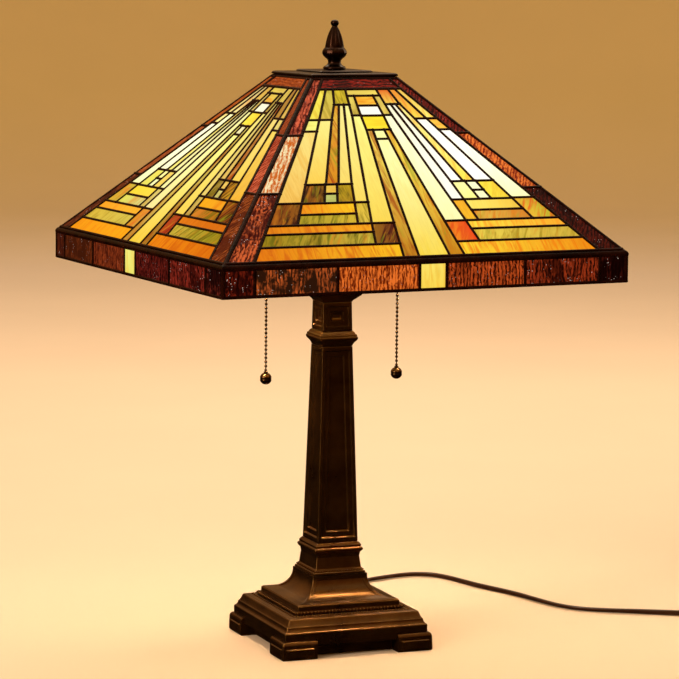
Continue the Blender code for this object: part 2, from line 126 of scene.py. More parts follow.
class Shell:
    """Points and faces in mm, with one value of each attribute per point."""

    def __init__(self):
        self.points = []
        self.faces = []
        self.marks = {}

    def add(self, points, faces, **marks):
        start = len(self.points)
        self.points += [tuple(p) for p in points]
        self.faces += [tuple(start + i for i in face) for face in faces]
        for name, values in marks.items():
            self.marks.setdefault(name, []).extend(values)

    def loft(self, rings, wrap=False, caps=True):
        """Faces between closed rings that have equally many points."""
        n = len(rings[0])
        faces = []
        last = len(rings) if wrap else len(rings) - 1
        for r in range(last):
            s = (r + 1) % len(rings)
            for i in range(n):
                j = (i + 1) % n
                faces.append((r * n + i, r * n + j, s * n + j, s * n + i))
        if caps and not wrap:
            faces.append(tuple(range(n))[::-1])
            faces.append(tuple((len(rings) - 1) * n + i for i in range(n)))
        self.add([p for ring in rings for p in ring], faces)

    def moved(self, matrix):
        self.points = [tuple(matrix @ Vector(p)) for p in self.points]
        return self


def finished(name, shell, material, body, replaces=(), crease=35, flat=True, turn=0.0):
    """The shell as an object in metres, with its material, that rides on a body."""
    if turn:
        shell.moved(Matrix.Rotation(turn, 4, "Z"))
    mesh = smooth_mesh(name, shell, material)
    for key, values in shell.marks.items():
        kind = "FLOAT_COLOR" if len(values[0]) == 4 else "FLOAT_VECTOR"
        field = "color" if kind == "FLOAT_COLOR" else "vector"
        layer = mesh.attributes.new(key, kind, "POINT")
        layer.data.foreach_set(field, [x for value in values for x in value])
    bm = bmesh.new()
    bm.from_mesh(mesh)
    bmesh.ops.recalc_face_normals(bm, faces=bm.faces)
    bm.to_mesh(mesh)
    bm.free()
    mesh.set_sharp_from_angle(angle=math.radians(crease))
    obj = linked(name, mesh)
    if flat:
        weigh = obj.modifiers.new("even_faces", "WEIGHTED_NORMAL")
        weigh.keep_sharp = True
    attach(obj, body)
    if replaces:
        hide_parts(*replaces)
    return obj


def eased(profile, radius=0.5, steps=3):
    """The same profile with its corners rounded."""
    points = [Vector(p) for p in profile]
    out = [points[0]]
    for a, b, c in zip(points, points[1:], points[2:]):
        back, on = a - b, c - b
        if min(back.length, on.length) < 1e-6 or back.angle(-on) < math.radians(9):
            out.append(b)
            continue
        reach = min(radius, 0.42 * back.length, 0.42 * on.length)
        p, q = b + back.normalized() * reach, b + on.normalized() * reach
        for i in range(steps + 1):
            t = i / steps
            out.append(p * (1 - t) ** 2 + b * 2 * t * (1 - t) + q * t * t)
    out.append(points[-1])
    return [tuple(p) for p in out]


def lathe_shell(profile, steps=48, flutes=None):
    """A closed profile of (radius, z) turned round the Z axis; flutes(r, z, angle) gives the radius."""
    shell = Shell()
    rings = []
    for r, z in profile:
        ring = []
        for a in angles(steps):
            here = flutes(r, z, a) if flutes else r
            ring.append((here * math.cos(a), here * math.sin(a), z))
        rings.append(ring)
    hollow = profile[0][0] > 0 and profile[-1][0] > 0 and profile[0] != profile[-1]
    shell.loft(rings, wrap=hollow)
    return shell


SLOPE = 0.9


def square_ring(half, z, corner=0.9, sunk=()):
    """A rounded square; sunk holds (border, depth) steps from each corner inwards."""
    corner = min(corner, 0.3 * half)
    side = []
    inset, deep = 0.0, 0.0
    for border, depth in sunk:
        inset += border
        side.append((-half + inset, -half + deep))
        deep += depth
        inset += SLOPE
        side.append((-half + inset, -half + deep))
    side += [(-x, y) for x, y in reversed(side)]
    arc = []
    for i in range(5):
        a = math.pi * (1 + i / 8)
        arc.append((-half + corner + corner * math.cos(a), -half + corner + corner * math.sin(a)))
    ring = []
    x_axis, y_axis = (1, 0), (0, 1)
    for _ in range(4):
        for x, y in arc + side:
            ring.append((x * x_axis[0] + y * y_axis[0], x * x_axis[1] + y * y_axis[1], z))
        x_axis, y_axis = (-x_axis[1], x_axis[0]), (-y_axis[1], y_axis[0])
    return ring


def square_shell(outer, inner, corner=0.9, steps_of=None):
    """A square tube from an outer and an inner profile; steps_of(z) gives the sunk steps outside."""
    shell = Shell()
    rings = []
    for half, z in outer:
        rings.append(square_ring(half, z, corner, steps_of(z) if steps_of else ()))
    plain = [(border, 0.0) for border, _ in steps_of(outer[0][1])] if steps_of else ()
    for half, z in inner:
        rings.append(square_ring(half, z, corner, [(min(b, half * 0.2), 0.0) for b, _ in plain]))
    shell.loft(rings, wrap=True)
    return shell


# Materials.


class Paint:
    """A node material with one Principled shader."""

    def __init__(self, name, **constants):
        self.material = bpy.data.materials.new(name)
        self.material.use_nodes = True
        self.tree = self.material.node_tree
        self.shader = self.tree.nodes["Principled BSDF"]
        for key, value in constants.items():
            self.shader.inputs[key.replace("_", " ")].default_value = value

    def add(self, kind, inputs=None, **settings):
        node = self.tree.nodes.new(kind)
        for key, value in settings.items():
            setattr(node, key, value)
        for key, value in (inputs or {}).items():
            if isinstance(value, bpy.types.NodeSocket):
                self.tree.links.new(value, node.inputs[key])
            else:
                node.inputs[key].default_value = value
        return node

    def math(self, operation, *values):
        return self.add("ShaderNodeMath", dict(enumerate(values)), operation=operation).outputs[0]

    def times(self, a, b):
        return self.math("MULTIPLY", a, b)

    def plus(self, a, b):
        return self.math("ADD", a, b)

    def vector(self, operation, *values):
        node = self.add("ShaderNodeVectorMath", dict(enumerate(values)), operation=operation)
        return node.outputs["Value" if operation in ("DISTANCE", "LENGTH") else 0]

    def scaled(self, vector, factor):
        return self.add("ShaderNodeVectorMath", {0: vector, "Scale": factor}, operation="SCALE").outputs[0]

    def place(self):
        return self.add("ShaderNodeTexCoord").outputs["Object"]

    def height(self, vector):
        return self.add("ShaderNodeSeparateXYZ", {0: vector}).outputs["Z"]

    def noise(self, vector, scale, detail=3.0, rough=0.5, warp=0.0):
        inputs = {"Vector": vector, "Scale": scale, "Detail": detail, "Roughness": rough, "Distortion": warp}
        return self.add("ShaderNodeTexNoise", inputs).outputs["Fac"]

    def streaks(self, vector, stretch, detail=3.0, rough=0.5, warp=0.0):
        """Noise with its own scale along each axis."""
        return self.noise(self.vector("MULTIPLY", vector, stretch), 1.0, detail, rough, warp)

    def cells(self, vector, scale):
        inputs = {"Vector": vector, "Scale": scale}
        return self.add("ShaderNodeTexVoronoi", inputs).outputs["Distance"]

    def span(self, value, low, high, to_low=0.0, to_high=1.0):
        inputs = {"Value": value, "From Min": low, "From Max": high, "To Min": to_low, "To Max": to_high}
        return self.add("ShaderNodeMapRange", inputs).outputs["Result"]

    def blend(self, fac, a, b, kind="MIX"):
        node = self.add("ShaderNodeMix", data_type="RGBA", blend_type=kind)
        for socket, value in ((node.inputs["Factor"], fac), (node.inputs[6], a), (node.inputs[7], b)):
            if isinstance(value, bpy.types.NodeSocket):
                self.tree.links.new(value, socket)
            elif isinstance(value, (list, tuple)):
                socket.default_value = (*value, 1.0)[:4]
            else:
                socket.default_value = value
        return node.outputs[2]

    def bump(self, height, strength, distance):
        inputs = {"Height": height, "Strength": strength, "Distance": distance}
        normal = self.add("ShaderNodeBump", inputs).outputs["Normal"]
        self.to("Normal", normal)

    def mark(self, name, output="Color"):
        return self.add("ShaderNodeAttribute", attribute_name=name).outputs[output]

    def to(self, socket, value):
        self.tree.links.new(value, self.shader.inputs[socket])


def bronze_paint(name, dark="5a3a1b", light="7c5529", stipple=False):
    """Oil-rubbed bronze: nearly black, with a golden brown sheen where light falls on it."""
    paint = Paint(name, Metallic=0.95, Coat_Weight=0.08, Coat_Roughness=0.25)
    place = paint.place()
    cloud = paint.noise(place, 26.0, 4.0, 0.6)
    fine = paint.noise(place, 420.0, 3.0, 0.6)
    base = paint.blend(paint.span(cloud, 0.35, 0.68), linear(dark), linear(light))
    speck = paint.span(fine, 0.60, 0.74)
    base = paint.blend(paint.times(speck, 0.2), base, linear("8c6236"))
    paint.to("Base Color", base)
    rough = paint.plus(paint.times(cloud, 0.12), paint.times(fine, 0.05))
    paint.to("Roughness", paint.plus(rough, 0.21))
    height = paint.times(fine, 0.35)
    if stipple:
        dots = paint.cells(place, 620.0)
        up = paint.height(place)
        top = paint.times(paint.span(up, 0.0369, 0.0372), -1.6)
        height = paint.plus(height, paint.times(dots, top))
    paint.bump(height, 0.035, 0.0006)
    return paint.material


def brass_paint(name, dark, light, roughness=0.24):
    """Turned brass with a brushed, slightly tarnished skin."""
    paint = Paint(name, Metallic=1.0)
    place = paint.place()
    stain = paint.noise(place, 60.0, 4.0, 0.6)
    brushed = paint.noise(paint.vector("MULTIPLY", place, (1.0, 1.0, 9.0)), 300.0, 2.0)
    paint.to("Base Color", paint.blend(paint.span(stain, 0.3, 0.7), linear(dark), linear(light)))
    paint.to("Roughness", paint.plus(paint.times(stain, 0.2), roughness - 0.08))
    paint.bump(brushed, 0.15, 0.0003)
    return paint.material


def iron_paint():
    """Sand-cast ballast with a coarse skin."""
    paint = Paint("cast_iron_skin", Metallic=0.7)
    place = paint.place()
    grain = paint.noise(place, 380.0, 5.0, 0.7)
    paint.to("Base Color", paint.blend(grain, linear("232120"), linear("45403c")))
    paint.to("Roughness", paint.plus(paint.times(grain, 0.3), 0.45))
    paint.bump(grain, 0.6, 0.0008)
    return paint.material


def lead_paint():
    """Solder and came darkened with patina, brighter where it was rubbed."""
    paint = Paint("lead_patina", Metallic=0.22, Specular_IOR_Level=0.04)
    place = paint.place()
    cloud = paint.noise(place, 55.0, 4.0, 0.6)
    lumps = paint.noise(place, 240.0, 3.0, 0.55)
    base = paint.blend(paint.span(cloud, 0.35, 0.7), linear("140501"), linear("2a0d04"))
    base = paint.blend(paint.times(paint.span(lumps, 0.58, 0.75), 0.3), base, linear("4a2610"))
    paint.to("Base Color", base)
    paint.to("Roughness", paint.plus(paint.times(cloud, 0.25), 0.2))
    paint.bump(lumps, 0.5, 0.0007)
    return paint.material


# Where the painted glow of the bulbs on the shade's glass is strongest, in metres.
GLOW_SPOTS = ((0.098, -0.072, 0.452), (-0.098, 0.072, 0.452))


def bulb_share(paint, place, reach):
    """How much painted bulb light reaches a point of the shade, falling off with distance from each glow
    spot.
    """
    total = None
    for spot in GLOW_SPOTS:
        away = paint.math("DIVIDE", paint.vector("DISTANCE", place, spot), reach)
        near = paint.math("DIVIDE", 1.0, paint.plus(paint.math("POWER", away, 2.0), 1.0))
        total = near if total is None else paint.plus(total, near)
    return total


def art_glass_paint():
    """Streaky opalescent glass whose emission paints the light of the lamp shining through it, with painted
    hot spots.
    """
    paint = Paint("art_glass_lit", Emission_Strength=1.0, Roughness=0.12, Specular_IOR_Level=0.03)
    grain = paint.mark("grain", "Vector")
    tone, vein = paint.mark("tone"), paint.mark("vein")
    wisps = paint.streaks(grain, (24.0, 150.0, 7.0), 4.0, 0.6, 1.3)
    cloud = paint.streaks(grain, (26.0, 80.0, 5.0), 3.0, 0.55, 0.8)
    fibre = paint.streaks(grain, (70.0, 700.0, 3.0), 3.0, 0.6, 0.4)
    strength = paint.mark("vein", "Alpha")
    streak = paint.times(paint.span(wisps, 0.46, 0.62), strength)
    smoke = paint.times(paint.span(cloud, 0.52, 0.68), paint.times(strength, 0.55))
    color = paint.blend(streak, tone, vein)
    smoked = paint.blend(1.0, color, (0.80, 0.60, 0.34), "MULTIPLY")
    color = paint.blend(smoke, color, smoked)
    moss = paint.streaks(grain, (20.0, 130.0, 9.0), 3.0, 0.6, 1.4)
    mixed = paint.times(paint.span(strength, 0.82, 0.95), 0.62)
    accent = paint.blend(paint.span(cloud, 0.44, 0.56), linear("8c9414"), linear("dc8418"))
    color = paint.blend(paint.times(paint.span(moss, 0.52, 0.64), mixed), color, accent)
    milky = paint.plus(paint.span(cloud, 0.28, 0.75, 0.95, 1.06), paint.span(fibre, 0.3, 0.7, -0.06, 0.06))
    # Painted light: the glass glows evenly, more near the glow spots, with whitish painted hot spots on top.
    share = bulb_share(paint, paint.place(), 0.085)
    glow = paint.plus(paint.times(share, 0.16), 0.92)
    hot = paint.math("POWER", share, 2.5)
    lit = paint.scaled(color, paint.times(glow, milky))
    flare = paint.scaled(color, paint.times(hot, 0.22))
    painted_hot_spot = paint.blend(1.0, flare, paint.scaled((0.9, 0.72, 0.42), paint.times(hot, 0.10)), "ADD")
    paint.to("Emission Color", paint.vector("ADD", lit, painted_hot_spot))
    paint.to("Base Color", paint.scaled(color, 0.03))
    ripple = paint.streaks(grain, (60.0, 190.0, 9.0), 3.0)
    paint.bump(ripple, 0.35, 0.0008)
    return paint.material


def granite_glass_paint():
    """Rippled granite-backed glass: dark hollows, glowing ridges and sparkling pits, in an emission that
    paints the bulbs' light through it; the pits' sparkle is a painted glint.
    """
    paint = Paint("granite_glass_lit", Emission_Strength=1.0, Roughness=0.2, Specular_IOR_Level=0.03)
    grain = paint.mark("grain", "Vector")
    tone, vein = paint.mark("tone"), paint.mark("vein")
    ripples = paint.streaks(grain, (120.0, 340.0, 9.0), 3.0, 0.6, 1.6)
    across = paint.add("ShaderNodeSeparateXYZ", {0: grain}).outputs["Y"]
    wobble = paint.streaks(grain, (50.0, 90.0, 5.0), 3.0, 0.6)
    phase = paint.plus(paint.times(across, 1750.0), paint.times(wobble, 16.0))
    ripples = paint.plus(ripples, paint.times(paint.math("SINE", phase), 0.09))
    patches = paint.streaks(grain, (42.0, 52.0, 5.0), 3.0, 0.6, 0.8)
    ridge = paint.math("POWER", paint.span(ripples, 0.38, 0.60), 1.4)
    bare = paint.times(paint.span(patches, 0.54, 0.42), paint.mark("tone", "Alpha"))
    light = paint.times(ridge, paint.math("SUBTRACT", 1.0, bare))
    color = paint.blend(light, vein, tone)
    # Painted glints: bright dots in the pits, as strong as the vein's alpha.
    pits = paint.cells(grain, 430.0)
    gate = paint.streaks(grain, (90.0, 90.0, 3.0), 2.0)
    painted_glint = paint.times(paint.span(pits, 0.22, 0.09), paint.span(gate, 0.53, 0.60))
    painted_glint = paint.times(painted_glint, paint.mark("vein", "Alpha"))
    # Painted light: the glow of the bulbs, brighter near the glow spots.
    share = bulb_share(paint, paint.place(), 0.095)
    lit = paint.scaled(color, paint.plus(paint.times(share, 0.20), 0.90))
    paint.to("Emission Color", paint.blend(painted_glint, lit, (1.0, 0.80, 0.68)))
    paint.to("Base Color", paint.scaled(color, 0.04))
    paint.bump(ripples, 0.25, 0.0010)
    return paint.material


def bulb_paint():
    """Frosted bulb glass, lit."""
    paint = Paint("bulb_frosted", Roughness=0.35, Emission_Strength=7.0)
    place = paint.place()
    frost = paint.noise(place, 900.0, 2.0)
    paint.to("Base Color", paint.blend(frost, linear("fff1d8"), linear("fffaf0")))
    paint.to("Emission Color", paint.blend(paint.noise(place, 30.0), linear("ffd9a0"), linear("fff0cf")))
    paint.bump(frost, 0.1, 0.0002)
    return paint.material


def plastic_paint(name, dark, light, roughness):
    """Moulded flexible plastic with a faint grain."""
    paint = Paint(name, Coat_Weight=0.2, Coat_Roughness=0.25)
    place = paint.place()
    cloud = paint.noise(place, 45.0, 3.0)
    grain = paint.noise(place, 900.0, 3.0)
    paint.to("Base Color", paint.blend(cloud, linear(dark), linear(light)))
    paint.to("Roughness", paint.plus(paint.times(grain, 0.18), roughness))
    paint.bump(grain, 0.22, 0.0003)
    return paint.material


BRONZE = bronze_paint("bronze_rubbed")
BRONZE_STIPPLED = bronze_paint("bronze_stippled", stipple=True)
# A darker copy of the bronze, for the cap plates and the finial.
BRONZE_DARK = bronze_paint("bronze_darker", "1e0d05", "34190a")
BRASS = brass_paint("brass_turned", "8a6226", "c79a4a")
BRASS_DARK = brass_paint("brass_aged", "4a2f1c", "8a6540", 0.22)
IRON = iron_paint()
LEAD = lead_paint()
ART_GLASS = art_glass_paint()
GRANITE_GLASS = granite_glass_paint()
BULB_GLASS = bulb_paint()
CORD_PLASTIC = plastic_paint("cord_plastic", "2a1409", "4e2e1a", 0.22)
TIE_PLASTIC = plastic_paint("tie_plastic", "0c0b0b", "1b1a1a", 0.4)


# Camera, light and floor.


def add_camera():
    """Seen from the front left, a little above, through a long lens."""
    data = bpy.data.cameras.new("camera")
    data.sensor_width = 36.0
    data.lens = 163.096
    data.shift_x = 0.011207
    data.shift_y = 0.000604
    data.clip_start = 0.1
    data.clip_end = 100.0
    camera = linked("camera", data)
    eye = Vector((-1.0569232, -2.71255975, 0.65262828))
    target = Vector((0.0, 0.0, 0.291078))
    forward = (target - eye).normalized()
    right = forward.cross(Vector((0, 0, 1))).normalized()
    up = right.cross(forward)
    roll = math.radians(0.51975)
    side = right * math.cos(roll) + up * math.sin(roll)
    top = up * math.cos(roll) - right * math.sin(roll)
    turn = Matrix((side, top, -forward)).transposed().to_4x4()
    camera.matrix_world = Matrix.Translation(eye) @ turn
    bpy.context.scene.camera = camera


def area_light(name, place, aim, size, energy, color):
    data = bpy.data.lights.new(name, "AREA")
    data.shape = "RECTANGLE"
    data.size, data.size_y = size
    data.energy = energy
    data.color = color
    light = linked(name, data)
    light.location = place
    light.rotation_mode = "QUATERNION"
    light.rotation_quaternion = (Vector(aim) - Vector(place)).to_track_quat("-Z", "Y")


def bulb_light(name, place, energy):
    data = bpy.data.lights.new(name, "POINT")
    data.shadow_soft_size = 0.027
    data.energy = energy
    data.color = (1.0, 0.74, 0.44)
    linked(name, data).location = place


def floor():
    """A pale floor that sweeps up into a wall all round, with a painted pool of light and a painted
    reflection.
    """
    shell = Shell()
    rings = []
    bend, start, top = 2.0, 5.0, 4.5
    profile = [(0.05, 0.0), (0.6, 0.0), (1.5, 0.0), (3.0, 0.0), (start, 0.0)]
    for i in range(1, 13):
        a = QUARTER * i / 12
        profile.append((start + bend * math.sin(a), bend - bend * math.cos(a)))
    profile.append((start + bend, top))
    for r, z in profile:
        rings.append([(1000 * r * math.cos(a), 1000 * r * math.sin(a), 1000 * z) for a in angles(96)])
    shell.loft(rings, caps=False)
    shell.faces.append(tuple(range(len(rings[0])))[::-1])
    paint = Paint("pale_backdrop", Roughness=0.8, Specular_IOR_Level=0.1)
    place = paint.place()
    # Painted light: the colour turns a deeper yellow towards the wall, and a painted pool of light leaves
    # the floor brighter near a point behind the lamp and dimmer further off.
    away = paint.vector("LENGTH", paint.vector("SUBTRACT", place, (0.5, 1.2, 0.0)))
    tone = paint.blend(paint.span(away, 2.3, 4.7), linear("ffe4cc"), linear("ffdd9a"))
    painted_light_pool = paint.vector("LENGTH", paint.vector("SUBTRACT", place, (0.55, 1.4, 0.0)))
    grain = paint.span(paint.noise(place, 3.0), 0.3, 0.7, 0.985, 1.015)
    paint.to("Base Color", paint.scaled(tone, paint.times(grain, paint.span(painted_light_pool, 0.2, 1.8, 1.0, 0.86))))
    # Painted reflection: glossy rays see a gradient from dark low down to light higher up, in place of the
    # floor's colour.
    mirrored = paint.add("ShaderNodeLightPath").outputs["Is Glossy Ray"]
    height = paint.height(place)
    painted_reflection_tone = paint.blend(paint.span(height, 0.1, 2.4), linear("140a05"), linear("a87844"))
    painted_reflection = paint.add("ShaderNodeEmission", {"Color": painted_reflection_tone, "Strength": 1.0}).outputs[0]
    swap = paint.add("ShaderNodeMixShader", {0: mirrored, 1: paint.shader.outputs[0], 2: painted_reflection}).outputs[0]
    paint.tree.links.new(swap, paint.tree.nodes["Material Output"].inputs["Surface"])
    obj = linked("backdrop", smooth_mesh("backdrop", shell, paint.material))


def surroundings():
    """Soft warm studio light, and the two bulbs."""
    scene = bpy.context.scene
    scene.view_settings.view_transform = "Standard"
    world = bpy.data.worlds.new("soft_room")
    world.use_nodes = True
    sky = world.node_tree.nodes["Background"]
    sky.inputs["Color"].default_value = (1.0, 0.82, 0.56, 1.0)
    sky.inputs["Strength"].default_value = 0.54
    scene.world = world
    area_light("soft_left", (-2.2, -0.9, 1.5), (0, 0, 0.25), (1.4, 1.4), 24.0, (1.0, 0.82, 0.6))
    area_light("soft_right", (2.4, 0.8, 1.2), (0, 0, 0.3), (1.2, 1.6), 9.0, (1.0, 0.8, 0.56))
    area_light("soft_top", (0.5, 1.3, 2.4), (0.4, 1.1, 0.0), (2.8, 2.8), 46.0, (1.0, 0.84, 0.6))
    area_light("low_strip", (-2.2, -0.86, 0.85), (0, 0, 0.22), (0.16, 1.3), 16.0, (1.0, 0.84, 0.62))
    for side in (-1, 1):
        bulb_light(f"bulb_light_{side}", (side * 0.116, 0, 0.4185), 21.0)


add_camera()
floor()
surroundings()


# The cord: bushing, flat twin flex, tied coil and plug.

CORD_WIDE = 5.6
CORD_THICK = 2.9
CORD_ROUTE = (
    (0, 96.8, 21.0), (0, 106.0, 20.6), (1.0, 120.0, 16.2), (5.0, 136.0, 9.2),
    (12.5, 152.0, 4.4), (24.0, 168.0, 3.1), (40.0, 184.0, 3.1), (67.0, 204.5, 3.1),
    (102.0, 225.0, 3.1), (139.7, 240.7, 3.1), (172.0, 250.4, 3.1), (193.0, 252.0, 3.1),
    (211.0, 243.0, 3.1), (221.0, 225.0, 3.1), (227.5, 203.0, 3.1), (235.0, 176.3, 3.1),
    (246.5, 146.0, 3.1), (256.2, 118.0, 3.1), (263.5, 88.2, 3.1), (271.0, 61.0, 3.1),
    (282.5, 40.0, 3.1), (303.0, 23.0, 3.1), (335.0, 5.5, 3.1),
)
COIL = Vector((426.6, -6.2, 0))
HEADING = math.radians(62.8)
COIL_OUT = 34.3
COIL_STEP = 3.1
AHEAD = Vector((math.cos(HEADING), math.sin(HEADING), 0))
INWARD = Vector((math.sin(HEADING), -math.cos(HEADING), 0))
PLUG_RUN = 20.6
LYING = 3.05
LAYER = 5.9


def coil_points():
    """Turns side by side: inwards on the table, then outwards on top of them."""
    start = HEADING - math.pi
    lower_turns, upper_turns = 3.0, 3.25
    points = []
    total = lower_turns + upper_turns
    count = round(total * 30)
    for i in range(count + 1):
        turns = total * i / count
        angle = start + 2 * math.pi * turns
        if turns < lower_turns:
            radius = COIL_OUT - COIL_STEP * turns
        else:
            narrowed = COIL_STEP * lower_turns
            radius = COIL_OUT - narrowed + narrowed * (turns - lower_turns) / upper_turns
        climb = min(1.0, max(0.0, (turns - lower_turns + 0.12) / 0.24))
        height = LYING + LAYER * (climb * climb * (3 - 2 * climb))
        if turns > total - 0.3:
            height -= 2.0 * ((turns - total + 0.3) / 0.3) ** 2
        points.append(COIL + Vector((radius * math.cos(angle), radius * math.sin(angle), height)))
    return points


def spline(points, spacing):
    """Evenly spaced points along a smooth curve."""
    ends = [points[0] * 2 - points[1]] + points + [points[-1] * 2 - points[-2]]
    fine = []
    for a, b, c, d in zip(ends, ends[1:], ends[2:], ends[3:]):
        for i in range(16):
            t = i / 16
            cubic = (3 * b - a - 3 * c + d) * t**3
            fine.append(0.5 * (2 * b + (c - a) * t + (2 * a - 5 * b + 4 * c - d) * t**2 + cubic))
    fine.append(points[-1])
    lengths = [0.0]
    for a, b in zip(fine, fine[1:]):
        lengths.append(lengths[-1] + (b - a).length)
    count = round(lengths[-1] / spacing)
    found, i = [], 0
    for k in range(count + 1):
        target = lengths[-1] * k / count
        while i < len(fine) - 2 and lengths[i + 1] < target:
            i += 1
        share = (target - lengths[i]) / (lengths[i + 1] - lengths[i])
        found.append(fine[i].lerp(fine[i + 1], share))
    return found


def twin_section(roll):
    """Two round strands side by side with a groove between them."""
    points = []
    reach = (CORD_WIDE - CORD_THICK) / 2
    for i in range(20):
        a = 2 * math.pi * (i + 0.5) / 20
        x = reach * math.copysign(1, math.cos(a)) + CORD_THICK / 2 * math.cos(a)
        y = CORD_THICK / 2 * math.sin(a)
        if abs(math.cos(a)) < 0.35:
            x, y = 0.62 * math.cos(a), 0.62 * y
        points.append((x * math.cos(roll) - y * math.sin(roll), x * math.sin(roll) + y * math.cos(roll)))
    return points


def cord_path():
    """The lead's centreline from the bushing to the plug, mm."""
    route = [Vector(p) for p in CORD_ROUTE]
    touch = COIL - AHEAD * COIL_OUT
    route += [touch - INWARD * 62 + AHEAD * 1.6, touch - INWARD * 34 + AHEAD * 0.3]
    route = [p if p.z > 3.2 else Vector((p.x, p.y, LYING)) for p in route]
    turns = coil_points()
    end = turns[-1]
    tail = [end + AHEAD * 9 + Vector((0, 0, -0.2)), end + AHEAD * PLUG_RUN + Vector((0, 0, -0.3))]
    return route + turns + tail


def cord():
    """The lead as one smooth tube of twin flex."""
    path = spline(cord_path(), 6.0)
    shell = Shell()
    rings = []
    for i, point in enumerate(path):
        ahead = path[min(i + 1, len(path) - 1)] - path[max(i - 1, 0)]
        ahead.normalize()
        side = ahead.cross(Vector((0, 0, 1))).normalized()
        lift = side.cross(ahead)
        along = i / (len(path) - 1)
        roll = math.radians(58 + 14 * math.sin(along * 40) * (along < 0.38))
        if along > 0.30:
            roll += (QUARTER - math.radians(58)) * min(1.0, (along - 0.30) / 0.06)
        rings.append([point + side * x + lift * y for x, y in twin_section(roll)])
    shell.loft(rings)
    obj = finished("power_cord", shell, CORD_PLASTIC, "base", ("cord", "cord_coil"), flat=False, crease=60)
    return obj, [[c * MM for c in p] for p in path]


def bushing():
    """A ribbed, tapering sleeve where the lead leaves the plinth."""
    profile = [(0, 69.0), (2.2, 69.0), (2.2, 72.6), (4.6, 72.6), (4.6, 74.4), (4.1, 75.0)]
    for i in range(7):
        y = 75.8 + i * 2.9
        radius = 4.1 - 0.17 * i
        profile += [(radius, y), (radius, y + 1.7), (radius - 0.6, y + 1.9), (radius - 0.6, y + 2.7)]
    profile += [(3.0, 96.2), (0, 96.4)]
    shell = lathe_shell(eased(profile, 0.25, 2), 28)
    shell.moved(Matrix.Translation((0, 0, 21.0)) @ Matrix.Rotation(-QUARTER, 4, "X"))
    return finished("cord_sleeve", shell, CORD_PLASTIC, "base", ("cord_bushing",), flat=False)


def rounded_box(angle, power):
    """A point of a square of half size 1 whose corners are rounded, more so as power nears 1."""
    return [math.copysign(abs(c) ** power, c) for c in (math.cos(angle), math.sin(angle))]


def tie():
    """A soft strap round the bundle of turns."""
    shell = Shell()
    rings = []
    turn = math.radians(120)
    middle, wide, tall = 29.65, 7.0, 6.15
    for a in angles(40):
        out = rounded_box(a, 0.62)
        ring = []
        for y, thick in ((-2.6, 0.0), (-2.3, 0.55), (0, 0.7), (2.3, 0.55), (2.6, 0.0), (0, -0.1)):
            ring.append((middle + out[0] * (wide + thick), y, wide + out[1] * (tall + thick)))
        rings.append(ring)
    shell.loft(rings, wrap=True)
    shell.moved(Matrix.Translation(COIL) @ Matrix.Rotation(turn, 4, "Z"))
    return finished("cord_strap", shell, TIE_PLASTIC, "base", ("cord_tie",), flat=False)


def plug():
    """A moulded two-blade plug with a ribbed neck and finger grips."""
    shell = Shell()
    spec = [(0, 3.0, 2.9), (1, 3.5, 3.3)]
    for i in range(5):
        x = 2.4 + i * 3.1
        grow = i * 0.34
        spec += [(x, 3.7 + grow, 3.4 + grow * 0.8), (x + 1.5, 3.8 + grow, 3.5 + grow * 0.8),
                 (x + 1.9, 3.2 + grow, 3.0 + grow * 0.8), (x + 2.7, 3.2 + grow, 3.0 + grow * 0.8)]
    spec += [(19.5, 6.0, 4.9), (22, 8.0, 5.5), (25, 9.6, 5.95)]
    for i in range(3):
        x = 27.0 + i * 3.0
        spec += [(x, 9.8, 6.05), (x + 0.8, 9.3, 5.75), (x + 1.6, 9.9, 6.15)]
    spec += [(37, 10.15, 6.3), (42.6, 10.15, 6.35), (43.7, 9.7, 6.0), (44, 8.9, 5.3)]
    rings = []
    for x, wide, tall in spec:
        ring = []
        for a in angles(28):
            y, z = rounded_box(a, 0.72)
            ring.append((x, wide * y, tall * z))
        rings.append(ring)
    shell.loft(rings)
    place = COIL + INWARD * 34.0
    place += AHEAD * PLUG_RUN + Vector((0, 0, 6.8))
    matrix = Matrix.Translation(place) @ Matrix.Rotation(HEADING, 4, "Z")
    shell.moved(matrix)
    body = finished("plug_body", shell, CORD_PLASTIC, "base", ("plug",), flat=False)
    blades = Shell()
    for side in (-1, 1):
        rings = []
        for x, cut in ((43.0, 0), (57.6, 0), (59.2, 0.3), (59.9, 0.9)):
            tall, thick = 3.15 - cut, 0.75 - cut * 0.5
            outline = [(-thick, -tall), (thick, -tall), (thick, tall), (-thick, tall)]
            rings.append([(x, side * 6.35 + y, z) for y, z in outline])
        blades.loft(rings)
    blades.moved(matrix)
    metal = finished("plug_blades", blades, BRASS, "base", flat=False)
    return [body, metal]


CORD, CORD_LINE = cord()
CORD_PIECES = [bushing(), tie()] + plug()
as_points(CORD_LINE)


# The base and column.


def between(z, low, high, ease=0.5):
    """1 inside the span of heights and 0 outside it, over a short slope."""
    return max(0.0, min(1.0, (z - low) / ease)) * max(0.0, min(1.0, (high - z) / ease))


def with_levels(outer, levels):
    """The profile with extra rings just before and after each height."""
    out = []
    for (h0, z0), (h1, z1) in zip(outer, outer[1:]):
        out.append((h0, z0))
        cuts = sorted(z for z in levels if min(z0, z1) + 0.05 < z < max(z0, z1) - 0.05)
        if z1 < z0:
            cuts.reverse()
        for z in cuts:
            t = (z - z0) / (z1 - z0)
            out.append((h0 + (h1 - h0) * t, z))
    out.append(outer[-1])
    return out


